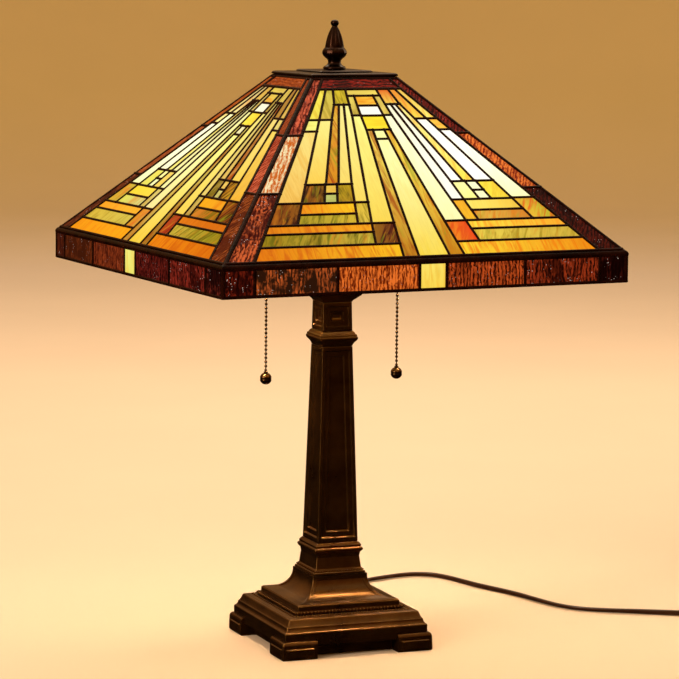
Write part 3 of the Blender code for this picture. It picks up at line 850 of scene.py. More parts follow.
def feet():
    """A block under each corner, with a raised panel on its two outer faces."""
    outline = [(75.2, 0.0), (75.9, 0.7), (76.1, 1.6), (75.9, 9.6), (75.8, 12.0), (75.7, 14.4), (75.0, 16.2),
               (73.9, 17.2)]
    outline = with_levels(eased(outline, 0.4), [1.8, 2.5, 10.3, 11.0])
    inner, corner, border = 41.0, 1.1, 3.6
    for k, name in enumerate(CORNERS):
        shell = Shell()
        rings = []
        for outer, z in outline:
            raised = 0.95 * between(z, 1.8, 11.0, 0.7)
            low, high = inner + border, outer - border
            side = [(inner, -outer), (low, -outer), (low + 0.4, -outer - raised),
                    (high - 0.4, -outer - raised), (high, -outer)]
            arc = [(outer - corner + corner * math.sin(a), -outer + corner - corner * math.cos(a))
                   for a in (QUARTER * i / 4 for i in range(5))]
            other = [(-y, -x) for x, y in reversed(side)]
            rings.append([(x, y, z) for x, y in side + arc + other + [(inner, -inner)]])
        shell.loft(rings)
        finished("base_foot_" + name, shell, BRONZE, "base", ("foot_" + name,), turn=k * QUARTER)


def plinth():
    """The stepped block over the feet, its beaded rim, and the low wall set back between the feet."""
    outer = eased([(67.6, 17.5), (72.3, 17.5), (72.3, 24.2), (71.9, 24.8), (70.8, 25.5), (69.9, 26.6),
                   (69.3, 28.2),
                   (69.1, 29.6), (68.2, 30.4), (67.2, 32.2), (66.3, 34.4), (65.7, 35.9), (64.9, 36.7),
                   (63.4, 36.6),
                   (62.6, 37.0), (50.0, 38.6)], 0.4)
    inner = [(ROD_HOLE, 38.6), (ROD_HOLE, 34.2), (62.0, 34.2), (66.5, 26.0), (66.5, 17.5)]
    shell = square_shell(outer, inner, 1.2)
    bead_row(shell, 58.6, 37.75, 0.75, 2.9)
    outline = eased([(-66.0, 18.0), (-72.2, 18.0), (-72.2, 12.2), (-71.6, 11.8), (-62.0, 11.8),
                     (-62.0, 1.2), (-58.0, 1.2),
                     (-58.0, 18.0)], 0.3, 2)
    for quarter in range(4):
        turn = Matrix.Rotation(QUARTER * quarter, 3, "Z")
        shell.loft([[turn @ Vector((x, y, z)) for y, z in outline] for x in (-40.4, -40.0, 40.0, 40.4)])
    finished("base_plinth", shell, BRONZE_STIPPLED, "base", ("plinth",), crease=40)


def bead_row(shell, half, z, radius, pitch):
    """A square line of small beads."""
    count = round(2 * half / pitch)
    rows, steps = 4, 7
    for k in range(4):
        turn = Matrix.Rotation(k * QUARTER, 3, "Z")
        for i in range(count):
            centre = Vector((-half + 2 * half * (i + 0.5) / count, -half, z))
            rings = []
            for r in range(1, rows):
                a = math.pi * r / rows
                rings.append([turn @ (centre + Vector((radius * math.sin(a) * math.cos(b),
                                                       radius * math.sin(a) * math.sin(b),
                                                       -radius * math.cos(a))))
                              for b in angles(steps)])
            shell.loft(rings)


def bead_strip():
    """The row of beads that stands between the plinth and the tier."""
    shell = square_shell([(52.4, 38.65), (53.9, 38.75), (54.1, 39.4), (53.6, 41.1)],
                         [(51.9, 41.1), (51.9, 38.65)], 0.4)
    bead_row(shell, 54.7, 39.9, 1.3, 3.5)
    finished("base_beads", shell, BRONZE, "base", ("bead_strip",), flat=False, crease=50)


def cavetto_tier():
    """The fascia and the concave tier, with a sunk panel between the ribs of each side."""
    outer = eased([(46.6, 38.9), (51.6, 38.9), (51.6, 45.2), (50.4, 46.4)], 0.5)
    curve = []
    steps = 18
    for i in range(steps + 1):
        a = QUARTER * i / steps
        curve.append((27.8 + (48.6 - 27.8) * (1 - math.sin(a)), 46.6 + (67.0 - 46.6) * (1 - math.cos(a))))
    outer = outer + with_levels(curve, [48.0, 48.6, 64.2, 64.8]) + [(27.8, 68.6)]
    inner = [(ROD_HOLE, 68.6), (ROD_HOLE, 64.6), (22.0, 64.6), (26.0, 56.0), (38.0, 47.0), (45.6, 42.0),
             (45.6, 38.9)]
    shell = square_shell(outer, inner, 0.9, lambda z: [(4.2, 1.3 * between(z, 48.0, 64.8, 0.6))])
    finished("base_cove", shell, BRONZE, "base", ("cavetto_tier",))


def column_collar():
    """The moulding at the foot of the column, with its line of fine beads."""
    outer = eased([(12.0, 68.9), (26.4, 68.9), (26.4, 70.7), (24.6, 71.4), (24.4, 73.2), (23.2, 74.0),
                   (21.9, 85.0),
                   (22.4, 88.4), (23.4, 89.6), (24.4, 90.8), (24.7, 92.0), (24.3, 93.2), (23.4, 93.8),
                   (22.9, 94.4),
                   (23.3, 95.0), (23.3, 95.9), (22.3, 97.2), (21.0, 98.6)], 0.35, 2)
    shell = square_shell(outer, [(ROD_HOLE, 98.6), (ROD_HOLE, 68.9)], 0.9)
    bead_row(shell, 24.9, 72.2, 0.62, 1.62)
    finished("column_foot", shell, BRONZE, "base", ("column_collar",), crease=42)


def shaft():
    """The tapering shaft with two nested sunk panels on each side."""
    low, high = 98.9, 286.2
    first, second = (low + 4.2, high - 3.6), (low + 9.9, high - 8.6)
    levels = [z for a, b in (first, second) for z in (a, a + 1.3, b - 0.9, b)]
    outer = with_levels([(12.0, low), (20.4, low), (20.6, low + 0.4), (15.4, high - 0.4), (15.2, high)],
                        levels)

    def sunk(z):
        return [(3.3, 1.6 * between(z, *first, 0.9)), (4.3, 1.6 * between(z, *second, 0.9))]

    shell = square_shell(outer, [(9.8, high), (10.8, low)], 0.85, sunk)
    finished("column_shaft", shell, BRONZE, "base", ("shaft",))


def capital():
    """The moulding at the head of the shaft."""
    outer = eased([(9.0, 286.5), (15.2, 286.5), (15.6, 288.0), (16.6, 289.9), (17.9, 291.4), (18.5, 292.1),
                   (19.2, 293.2),
                   (19.5, 294.6), (19.1, 295.7), (18.5, 296.1), (18.9, 296.7), (18.5, 297.8), (17.4, 298.5),
                   (17.2, 299.2), (16.4, 300.3), (15.2, 301.4)], 0.3, 2)
    shell = square_shell(outer, [(ROD_HOLE, 301.4), (ROD_HOLE, 286.5)], 0.8)
    finished("column_capital", shell, BRONZE, "base", ("capital",), crease=42)


def neck_block():
    """The block above the capital, with nested square panels."""
    low, high = 301.7, 328.4
    spans = [(low + 3.5, high - 3.5), (low + 8.1, high - 8.1), (low + 10.8, high - 10.8)]
    levels = [z for a, b in spans for z in (a, a + 0.9, b - 0.9, b)]
    outer = with_levels([(10.5, low), (14.9, low), (15.1, low + 0.4), (14.6, high - 0.4), (14.4, high)],
                        levels)

    def sunk(z):
        steps = ((3.3, 1.5), (3.6, 1.4), (1.6, 0.8))
        return [(border, depth * between(z, *span, 0.9)) for (border, depth), span in zip(steps, spans)]

    shell = square_shell(outer, [(9.0, high), (9.0, low)], 0.8, sunk)
    finished("column_neck", shell, BRONZE, "base", ("neck_block",))


def top_flare():
    """The flared top that the cluster's rod leaves."""
    outer = eased([(9.0, 328.7), (14.8, 328.7), (15.1, 329.6), (15.8, 330.5), (18.2, 332.6), (21.4, 335.4),
                   (23.6, 338.6),
                   (24.3, 341.0), (24.4, 342.0), (24.4, 345.2)], 0.4, 2)
    shell = square_shell(outer, [(ROD_HOLE, 345.2), (ROD_HOLE, 328.7)], 0.9)
    finished("column_flare", shell, BRONZE, "base", ("top_flare",), crease=42)


# The light cluster, bulbs and pull switches.


def axis_matrix(sign):
    """The frame of one socket: Z runs outwards along it from the cluster."""
    return Matrix.Translation((0, 0, CLUSTER_Z)) @ Matrix.Rotation(SOCKET_TILT * sign, 4, "Y")


def sockets():
    for side, sign in (("left", -1), ("right", 1)):
        place = axis_matrix(sign)
        arm = [(2.5, 19.0), (5.0, 19.0), (5.0, 20.2), (4.2, 20.6), (4.2, 29.6), (5.0, 30.0), (5.0, 31.5),
               (2.5, 31.5)]
        cap = [(3.0, 31.8), (6.4, 31.8), (7.4, 32.2), (8.6, 33.4), (11.6, 34.4), (14.4, 36.2), (16.0, 38.6),
               (16.8, 40.6),
               (17.6, 41.0), (17.7, 42.2), (17.4, 43.4), (16.3, 43.4), (13.8, 37.0), (3.0, 33.4)]
        shell = [(15.9, 43.7), (17.4, 43.7), (17.7, 44.4), (17.4, 45.0)]
        for i in range(9):
            z = 46.0 + i * 2.4
            shell += [(17.35, z), (17.75, z + 0.8), (17.75, z + 1.5), (17.35, z + 2.2)]
        shell += [(18.0, 69.4), (18.9, 71.6), (19.2, 73.2), (19.0, 74.0), (17.8, 74.0), (16.8, 70.0),
                  (15.9, 60.0)]
        base = [(0, 49.0), (3.6, 49.0), (5.0, 49.8), (11.4, 53.0)]
        for i in range(6):
            z = 54.2 + i * 2.8
            base += [(12.2, z), (13.0, z + 0.9), (13.0, z + 1.4), (12.2, z + 2.2)]
        base += [(12.9, 71.4), (0, 71.5)]
        glass = [(12.4, 71.8), (12.9, 74.0), (13.4, 80.0), (14.8, 86.5), (17.0, 92.0), (20.0, 97.8)]
        for i in range(15):
            a = math.radians(-46 + 136 * i / 14)
            glass.append((25.0 * math.cos(a), 118.0 + 25.0 * math.sin(a)))
        rest = (("arm_", "lamp_arm_", arm, BRASS_DARK, "base"),
                ("socket_cap_", "lampholder_cap_", cap, BRASS_DARK, "base"),
                ("socket_shell_", "lampholder_shell_", shell, BRASS_DARK, "base"),
                ("bulb_base_", "bulb_screw_", base, BRASS, "bulb_" + side),
                ("bulb_", "bulb_globe_", glass, BULB_GLASS, "bulb_" + side))
        for node, name, profile, material, body in rest:
            turned = lathe_shell(eased(profile, 0.3, 2), 40)
            turned.moved(place)
            finished(name + side, turned, material, body, (node + side,), flat=False)


def pull_switches():
    """Spout, link, bead chain and ball on each side."""
    for side, sign in (("left", -1), ("right", 1)):
        spout = [(2.6, 0.4), (4.2, 0.4), (4.3, 1.2), (3.9, 1.8), (3.8, 6.0), (4.2, 8.6), (5.0, 10.4),
                 (5.1, 11.0),
                 (4.3, 11.0), (3.0, 7.0)]
        turned = lathe_shell(eased(spout, 0.2, 2), 28)
        lean = Matrix.Rotation(SPOUT_LEAN * sign, 4, "Y")
        turned.moved(Matrix.Translation((sign * SPOUT_X, 0, SPOUT_Z)) @ lean)
        finished("switch_spout_" + side, turned, BRASS_DARK, "base", ("chain_spout_" + side,), flat=False)
        shift = Matrix.Translation((sign * CHAIN_X, 0, 0))
        link = [(0, 375.5), (0.8, 375.5), (1.2, 376.0), (1.2, 377.0), (0.8, 377.4), (0.8, 378.2),
                (1.2, 378.6), (1.2, 379.6),
                (0.7, 380.0), (0, 380.0)]
        turned = lathe_shell(link, 16).moved(shift)
        finished("chain_link_" + side, turned, BRASS_DARK, "pull_link_" + side, ("pull_link_" + side,),
                 flat=False)
        chain = Shell()
        low, high, pitch, bead = 264.6, 375.0, 3.93, 1.45
        beads = int((high - low) / pitch)
        profile = []
        for i in range(beads + 1):
            z = low + i * (high - low) / beads
            z = min(max(z, 264.3), 373.6)
            for a in range(-66, 67, 22):
                profile.append((bead * math.cos(math.radians(a)), z + bead * math.sin(math.radians(a))))
        chain.loft([[(r * math.cos(a), r * math.sin(a), z) for a in angles(12)] for r, z in profile])
        chain.moved(shift)
        finished("bead_chain_" + side, chain, BRASS_DARK, "pull_" + side, ("pull_chain_" + side,),
                 flat=False, crease=50)
        ball = [(0, 250.95)]
        for a in range(-80, 81, 8):
            r, z = BALL_R * math.cos(math.radians(a)), BALL_Z + BALL_R * math.sin(math.radians(a))
            if abs(a) <= 8:
                r -= 0.35
            ball.append((r, z))
        ball += [(2.0, 262.3), (2.1, 262.9), (1.7, 263.4), (0, 263.4)]
        turned = lathe_shell(ball, 36).moved(shift)
        finished("chain_ball_" + side, turned, BRASS_DARK, "pull_" + side, ("pull_ball_" + side,),
                 flat=False, crease=40)


# The shade.

LINES = {
    "A": ((4, 15.4), (156.5, 5.85)),
    "B": ((4, 30.6), (156.5, 12.3), (174.8, 11.6), (199.5, 9.8)),
    "C": ((20.5, 52.3), (45, 47.5), (174.8, 20.4), (208, 15.8)),
    "D": ((45, 61), (70, 55.4), (92, 50.4), (188, 24.2)),
    "E": ((92.5, 63.1), (188, 29.2)),
    "F": ((92.5, 75.4), (170, 42.6), (190, 33.2), (208, 28.2)),
    "G": ((45, 118.9), (72, 105.6), (92, 95.4), (170, 55), (208, 35.4)),
    "H": ((3.6, 173.5), (208, 42.3), (222, 33.9)),
    "K": ((70, 72), (92, 64.9)),
    "L": ((70, 84.6), (92, 76.5)),
}
SPANS = {"A": (4, 156.8), "B": (4, 199.5), "C": (20.3, 208), "D": (45, 188.3), "E": (92, 188.3),
         "F": (92, 208),
         "G": (45, 208), "H": (3.6, 221), "K": (70, 92), "L": (70, 92)}


def across(line, v):
    """How far a lead line is from the centre line at a height up the slope."""
    if line == "edge":
        return HALF - v * RUN / SLANT - 2.2
    points = LINES[line]
    for (v0, s0), (v1, s1) in zip(points, points[1:]):
        if v <= v1 or (v1, s1) == points[-1]:
            return s0 + (s1 - s0) * (v - v0) / (v1 - v0)


# Each pane: inner line, outer line, v from and to, streak direction, four pairs of colours for its start
# and end (front left, front right, left side far half, left side near half), then the streaks' colour and
# strength where the panel is duller and where it is brighter. Besides the glass's own colours, the pairs
# hold the painted glow of the bulbs seen through the glass, which makes some halves brighter than others and
# the front's right half palest. Streaks run along u, along v, up the slope across a level bar (x), or
# slantwise (d).
PANES = (
    ("A", "B", 4, 156.8, "v", "c4840e fce058", "cc880c fce850", "c4943a e0d060", "ac8424 e0c85c",
     "a85008", 0.9, "c87808", 0.95),
    ("B", "C", 175.1, 199.5, "v", "d8b84c e8d45c", "e4c858 e0c860", "dcc470 ccac58", "c4a450 c09c4c",
     "a08420", 0.8, "b89830", 0.6),
    ("B", "H", 4, 20.3, "x", "fcc018 e87c08", "fcd42c f09010", "fca808 f89c0c", "f48c08 e47408",
     "d86404", 0.8, "f07c04", 0.8),
    ("B", "C", 20.3, 45, "d", "84400c 946010", "f48c14 ec3c0c", "d49838 dc981c", "b84418 a81c08",
     "4c1002", 1.0, "e44c08", 0.8),
    ("C", "H", 20.3, 34.8, "d", "d4b83c a4840c", "e8cc48 d4b03c", "d0bc48 dcb83c", "d4b43c a48c14",
     "746808", 1.0, "ac8c18", 0.9),
    ("C", "H", 34.8, 44.8, "x", "f8a814 ec880c", "ffdc3c fcac28", "fcb424 fca41c", "e87c10 dc7010",
     "d86c08", 0.7, "f89018", 0.7),
    ("B", "C", 45, 175.1, "v", "fcd850 fcf88c", "fcf8b0 fcfcd0", "fce090 f0ec9c", "fcd854 f4e880",
     "f4cc58", 0.28, "fcf0a0", 0.22),
    ("C", "D", 45, 70, "v", "ecc848 e0bc38", "fcc01c f8ac18", "d4bc60 d4c068", "c89c4c dcc05c",
     "9c8418", 0.8, "c89018", 0.7),
    ("C", "D", 70, 188.3, "v", "fcdc5c fcf898", "fffcec f8f4d0", "ece498 e0d890", "ecd06c dcc46c",
     "f4d468", 0.28, "fcf0b0", 0.22),
    ("D", "G", 45, 57.2, "d", "d8b830 b49c24", "e0b840 d07c20", "ccc878 dedc54", "d88024 c06810",
     "706808", 1.0, "dc7c14", 0.9),
    ("D", "G", 57.2, 70, "x", "fcc818 f49410", "fce868 ecc03c", "f4d03c fcd42c", "fcb014 f8a420",
     "ec7c0c", 0.7, "fccc38", 0.28),
    ("G", "H", 45, 70.4, "d", "945810 843c08", "ecb42c b8b428", "b4a430 dcb430", "a05010 7c3c10",
     "401402", 1.0, "e45408", 0.9),
    ("D", "K", 70, 92, "v", "b48c18 c09c10", "fcf890 f8f8a4", "e8c44c e0bc50", "c09c3c b89440",
     "746004", 0.9, "f4e070", 0.28),
    ("K", "L", 70, 81, "u", "bcc064 c8cc70", "f4f4c0 f0f4c0", "f0f4a8 f0f0b0", "dcd078 e0cc7c",
     "a8a440", 0.6, "f8e8a0", 0.22),
    ("K", "L", 81, 92, "u", "f0c044 f4c850", "fafcc4 fcf8cc", "f4e488 fcf498", "f4cc60 ecc464",
     "e0a838", 0.6, "f8e8a0", 0.22),
    ("L", "G", 70, 92, "d", "88580c 8c480a", "f8e43c f0cc30", "d4dc5c e4d85c", "b87c1c cc9420",
     "442002", 1.0, "e4bc20", 0.7),
    ("D", "E", 92, 188.3, "v", "fcdc68 f8ec90", "fffcf0 f4f0d4", "e8e098 dcd088", "e4bc5c d0b060",
     "f0cc60", 0.28, "fcf0b4", 0.22),
    ("E", "F", 92, 188.3, "v", "dc880c e8bc3c", "f8dc44 f8f094", "e0dc70 dcd070", "cc883c b49444",
     "b04404", 1.0, "f0ac24", 0.8),
    ("F", "G", 92, 170, "v", "fcd050 fff088", "fffcf0 fffce8", "fcf8c4 fcfcb8", "fcd858 f4dc7c",
     "f8c84c", 0.28, "fcf4b8", 0.22),
    ("G", "H", 70.4, 156, "v", "f8c45c fce480", "fcfcb8 fffcf0", "fcfcb4 fcf8d4", "fcbc38 fce064",
     "f0b848", 0.6, "fcf0a8", 0.22),
    ("G", "H", 156, 170, "u", "fcf47c f4ec78", "f4c43c ecb030", "f4f090 f4e48c", "f0dc80 e0c06c",
     "e8cc50", 0.6, "dc9018", 0.8),
    ("C", "F", 188.3, 208, "v", "ccac1c dcc024", "f0cc4c e05810", "dcb850 d4a444", "e4c85c dcbc54",
     "98840c", 0.8, "e4701c", 0.9),
    ("F", "G", 170, 208, "v", "dcb848 d4c448", "f4d040 e49430", "ecdc8c d4b470", "bc8434 b47c38",
     "a48c20", 0.8, "ec8820", 0.8),
    ("G", "H", 170, 208, "v", "f8e450 fce850", "f4e468 ecc050", "e4d07c f0dc90", "e0b45c d4a44c",
     "dcb428", 0.6, "f0a830", 0.7),
)
# The panes across the middle: outer line, v from and to, streaks, colours on the front and on the sides.
MIDDLE = (
    ("A", 4, 145.6, "v", "fcd840 fcfcb4", "f8cc38 fcf690", "f8e070", 0.28),
    ("A", 145.6, 156.8, "v", "fcfca0 fcf8a8", "ece0ac f0e8b0", "f0e890", 0.22),
    ("B", 156.8, 174.5, "u", "fce42c fce024", "fce444 f8d438", "f8c818", 0.6),
    ("B", 174.5, 187.1, "u", "fffcec fffcf0", "fcf8d4 fcf8d8", "fcf0cc", 0.22),
    ("B", 187.1, 199.5, "u", "f8b024 f8c43c", "e0bc4c e8c84c", "ec8c0c", 0.8),
    ("C", 199.5, 208, "u", "e8cc58 f4d85c", "e4c84c dcbc58", "d0b040", 0.6),
)
# Granite strips by the hips: v from and to, then ridge and hollow colours in the order of the panes' four
# pairs, and how patchy the strip is.
HIP_STRIPS = (
    (3.6, 82.3, "dc6430 400603", "541408 1c0402", "883a18 34100a", "a84e1e 541606", 0.9),
    (82.3, 151.3, "fff0b8 d06414", "f47c30 7c1c08", "c86834 7c3010", "e87048 8c2410", 0.35),
    (151.3, 219.8, "e06440 500603", "8c2014 280503", "c86420 8c3810", "a84c24 7c2c10", 0.55),
)
# Panes of the skirt: from and to, ridge and hollow colours on the front and on the sides, patchiness and
# the strength of the painted glints.
SKIRT_PANES = (
    (-203.0, -173.0, "6c1c0c 1c0402", "5c240c 34100a", 0.8, 0.9),
    (-173.0, -94.0, "c05824 2c1408", "6c2c10 401808", 1.0, 0.5),
    (-94.0, -13.6, "e87028 641802", "8c3818 380e06", 0.2, 0.2),
    (13.6, 94.0, "c04c1c 300802", "742016 180303", 0.35, 0.3),
    (94.0, 173.0, "943214 1e0502", "8c2a1c 140302", 0.8, 0.7),
    (173.0, 203.0, "3c1008 0e0201", "702418 140403", 0.9, 0.9),
)
# How far off the middle the hand-set pattern sits on each side, at the eave and at the top, and how steeply
# that fades towards the hips. The skirt has one distance and one power.
DRIFT = ((4.8, 0.6, 2), (0.0, 0.0, 2), (0.0, 0.0, 2), (-9.5, 1.5, 6))
SKIRT_DRIFT = ((2.0, 2), (0.0, 2), (0.0, 2), (-10.0, 6))


def on_slope(u, v, w):
    """A point of a panel before it is turned to its side: mm."""
    run, rise = RUN / SLANT, RISE / SLANT
    return (u, -(HALF - v * run) - w * rise, EAVE_Z + v * rise + w * run)


def upright(u, z, w):
    """A point of a skirt before it is turned to its side: mm."""
    return (u, -HALF - w, z)


def drifted(k):
    """on_slope for one side, with the pattern's drift."""
    low, high, power = DRIFT[k]

    def place(u, v, w):
        half = HALF - v * RUN / SLANT
        fade = 1 - min(1.0, abs(u) / half) ** power
        return on_slope(u + (low + (high - low) * v / TOP_LEAD) * fade, v, w)
    return place


def drifted_skirt(k):
    """upright for one side, with the pattern's drift."""
    amount, power = SKIRT_DRIFT[k]

    def place(u, z, w):
        return upright(u + amount * (1 - min(1.0, abs(u) / HALF) ** power), z, w)
    return place


def colour4(code, alpha=1.0):
    return [*linear(code), alpha]


def pane(shell, corners, place, grain, tones, vein, wave, fine=7.0, ripple=0.0, tilt=0.0):
    """One piece of glass: corners(s, t) gives (u, v) for s, t from 0 to 1."""
    wide = abs(corners(1, 0.5)[0] - corners(0, 0.5)[0])
    tall = abs(corners(0.5, 1)[1] - corners(0.5, 0)[1])
    cols, rows = max(2, round(wide / fine)), max(2, round(tall / fine))
    front, back = [], []
    marks = []
    for r in range(rows + 1):
        for c in range(cols + 1):
            s, t = c / cols, r / rows
            u, v = corners(s, t)
            lift = ripple * noise.noise(Vector((u * 0.16, v * 0.16, wave)))
            lift += tilt * (s - 0.5)
            front.append(place(u, v, -0.15 + lift))
            back.append(place(u, v, -GLASS + 0.15 + lift))
            shade = mix(tones[0], tones[1], t if grain == "v" else s)
            along = {"u": (u, v), "v": (v, u), "d": (0.5 * u + 0.87 * v, 0.5 * v - 0.87 * u)}[grain]
            marks.append((shade, vein, (along[0] * MM, along[1] * MM, wave)))
    n = cols + 1
    faces = []
    for r in range(rows):
        for c in range(cols):
            a, b, d, e = r * n + c, r * n + c + 1, (r + 1) * n + c + 1, (r + 1) * n + c
            faces.append((a, b, d, e))
            faces.append((e + len(front), d + len(front), b + len(front), a + len(front)))
    rim = list(range(cols + 1)) + [r * n + cols for r in range(1, rows + 1)]
    rim += [rows * n + c for c in range(cols - 1, -1, -1)] + [r * n for r in range(rows - 1, 0, -1)]
    for a, b in zip(rim, rim[1:] + rim[:1]):
        faces.append((b, a, a + len(front), b + len(front)))
    marks += marks
    shell.add(front + back, faces, tone=[m[0] for m in marks], vein=[m[1] for m in marks],
              grain=[m[2] for m in marks])


def varied(code, rng, spread):
    """The colour, a little lighter or darker and redder or greener, as linear with alpha."""
    base = linear(code)
    light = 1 + rng.uniform(-spread, spread)
    hue = rng.uniform(-spread, spread) * 0.6
    return [base[0] * light, base[1] * light * (1 + hue), base[2] * light, 1.0]


def pane_corners(inner, outer, low, high, mirror):
    """corners() for a pane between two lead lines, or across the middle where mirror is None."""
    gap = 0.35

    def corners(s, t):
        v = low + gap + (high - low - 2 * gap) * t
        if mirror is None:
            return -across(outer, v) + gap + (2 * across(outer, v) - 2 * gap) * s, v
        a, b = across(inner, v) + gap, across(outer, v) - gap
        return mirror * (a + (b - a) * s), v
    return corners


def pair(codes, rng, spread):
    """Two colours written side by side, each a little varied."""
    return [varied(code, rng, spread) for code in codes.split()]


def glass_panel(k, side):
    """All the art glass of one sloping side, with its granite border."""
    rng = random.Random(40 + k)
    art, granite = Shell(), Shell()
    wave = 10.0 * k
    place = drifted(k)
    spread = 0.02 if k in (0, 3) else 0.08
    for mirror in (-1, 1):
        if k % 2:
            which = 2 if (mirror == -1) == (k == 3) else 3
        else:
            which = 0 if mirror == -1 else 1
        # Painted light: these halves take the brighter streaks, being the ones the bulbs' painted glow
        # lights most.
        painted_lit_half = which in (1, 2)
        for inner, outer, low, high, grain, *tones in PANES:
            wave += 0.37
            vein, strength = tones[6:8] if painted_lit_half else tones[4:6]
            if k % 2 and painted_lit_half:
                strength *= 0.7
            streak = varied(vein, rng, spread)
            streak[3] = strength
            shades = pair(tones[which], rng, spread)
            corners = pane_corners(inner, outer, low, high, mirror)
            if grain == "x":
                cross_pane(art, corners, place, shades, streak, wave, rng)
            else:
                pane(art, corners, place, grain, shades, streak, wave, tilt=rng.uniform(-0.12, 0.12))
        for low, high, *tones, patchy in HIP_STRIPS:
            wave += 0.37
            ridge, hollow = pair(tones[which], rng, 0.03)
            ridge[3] = patchy
            hollow[3] = 0.2 if low > 80 else 0.8
            corners = pane_corners("H", "edge", low, high, mirror)
            pane(granite, corners, place, "d", (ridge, ridge), hollow, wave, fine=3.0, ripple=0.35)
    for outer, low, high, grain, front, aside, vein, strength in MIDDLE:
        wave += 0.37
        streak = varied(vein, rng, 0.03)
        streak[3] = strength
        shades = pair(aside if k % 2 else front, rng, 0.02)
        pane(art, pane_corners(outer, outer, low, high, None), place, grain, shades, streak, wave)
    ridge, hollow = pair("b4501c 7c2c0c" if k % 2 else "8c1c10 280302", rng, 0.04)
    ridge[3] = 0.6
    hollow[3] = 0.3
    pane(granite, pane_corners("H", "H", 208.2, 220.6, None), place, "u", (ridge, ridge), hollow, wave,
         fine=3.0, ripple=0.3)
    turn = side_turn(k)
    finished("art_glass_" + side, art, ART_GLASS, "shade", ("panel_" + side,), flat=False, crease=30,
             turn=turn)
    finished("border_glass_" + side, granite, GRANITE_GLASS, "shade", flat=False, crease=40, turn=turn)


def cross_pane(shell, corners, place, shades, streak, wave, rng):
    """A bar whose streaks run up the slope while its colour changes along it."""
    before = len(shell.marks.get("grain", []))
    pane(shell, corners, place, "u", shades, streak, wave, tilt=rng.uniform(-0.1, 0.1))
    grains = shell.marks["grain"]
    for i in range(before, len(grains)):
        a, b, c = grains[i]
        grains[i] = (b, a, c)


def bar(shell, points, place, wide=3.0, proud=1.0, seed=0.0, fine=9.0):
    """A soldered lead along a line of (u, v) points, standing proud on both faces of the glass."""
    line = [Vector(p) for p in points]
    samples = []
    for a, b in zip(line, line[1:]):
        count = max(1, round((b - a).length / fine))
        samples += [a.lerp(b, i / count) for i in range(count)]
    samples.append(line[-1])
    rings = []
    for i, p in enumerate(samples):
        ahead = (samples[min(i + 1, len(samples) - 1)] - samples[max(i - 1, 0)]).normalized()
        side = Vector((-ahead.y, ahead.x))
        swell = 1 + 0.10 * noise.noise(Vector((p.x * 0.21, p.y * 0.21, seed)))
        tall = 1 + 0.25 * noise.noise(Vector((p.x * 0.17, p.y * 0.17, seed + 7)))
        half = wide / 2 * swell
        ring = []
        arc = ((1.0, 0.0), (0.93, 0.45), (0.66, 0.85), (0.25, 1.0))
        outline = arc + tuple((-x, w) for x, w in reversed(arc))
        for face, out, points in ((0, 1, outline), (-GLASS, -1, outline[::-1])):
            for x, w in points:
                q = p + side * (x * half)
                ring.append(place(q.x, q.y, face + out * w * proud * tall))
        rings.append(ring)
    shell.loft(rings)


def blob(shell, u, v, place, radius, proud):
    """A drop of solder where leads meet."""
    rings = []
    for r, w in ((1.0, 0.1), (0.86, 0.62), (0.5, 0.93), (0.12, 1.0)):
        rings.append([place(u + radius * r * math.cos(a), v + radius * r * math.sin(a), w * proud)
                      for a in angles(9)])
    shell.loft(rings)


def leads(k, side):
    """The network of leads of one side."""
    rng = random.Random(90 + k)
    shell = Shell()
    place = drifted(k)
    for line, (low, high) in SPANS.items():
        stops = [v for v, _ in LINES[line] if low < v < high]
        for mirror in (-1, 1):
            heights = [low] + stops + [high]
            bar(shell, [(mirror * across(line, v), v) for v in heights], place, 2.5 if line != "H" else 3.2,
                seed=rng.uniform(0, 50))
    cross = set()
    for inner, outer, low, high, *_ in PANES:
        for v in (low, high):
            if 4.5 < v < TOP_LEAD - 1:
                cross.add((inner, outer, round(v * 2) / 2))
    ends = [(-1, across(outer, v), across(inner, v), v) for inner, outer, v in sorted(cross)]
    ends += [(1, b, a, v) for _, b, a, v in list(ends)]
    for mirror, b, a, v in ends:
        bar(shell, [(mirror * a, v), (mirror * b, v)], place, 2.5, seed=rng.uniform(0, 50))
        blob(shell, mirror * a, v, place, rng.uniform(1.5, 1.9), rng.uniform(1.1, 1.4))
        blob(shell, mirror * b, v, place, rng.uniform(1.5, 1.9), rng.uniform(1.1, 1.4))
    for outer, low, high, *_ in MIDDLE:
        reach = across(outer, high)
        bar(shell, [(-reach, high), (reach, high)], place, 2.5, seed=rng.uniform(0, 50))
    for v in (high for _, high, *_ in HIP_STRIPS[:-1]):
        for mirror in (-1, 1):
            bar(shell, [(mirror * across("H", v), v), (mirror * (across("edge", v) + 1), v)], place, 2.8)
            blob(shell, mirror * across("H", v), v, place, 2.0, 1.3)
    reach = across("H", TOP_LEAD)
    bar(shell, [(-reach, TOP_LEAD), (reach, TOP_LEAD)], place, 3.0)
    reach = across("edge", 4.2) + 1
    bar(shell, [(-reach, 4.4), (reach, 4.4)], place, 2.6)
    edges = sorted({edge for row in SKIRT_PANES for edge in row[:2]})
    for u in edges[1:-1]:
        bar(shell, [(u, 360.4), (u, 383.6)], drifted_skirt(k), 3.0, seed=rng.uniform(0, 50), fine=6.0)
    turn = side_turn(k)
    finished("leads_" + side, shell, LEAD, "shade", flat=False, crease=50, turn=turn)


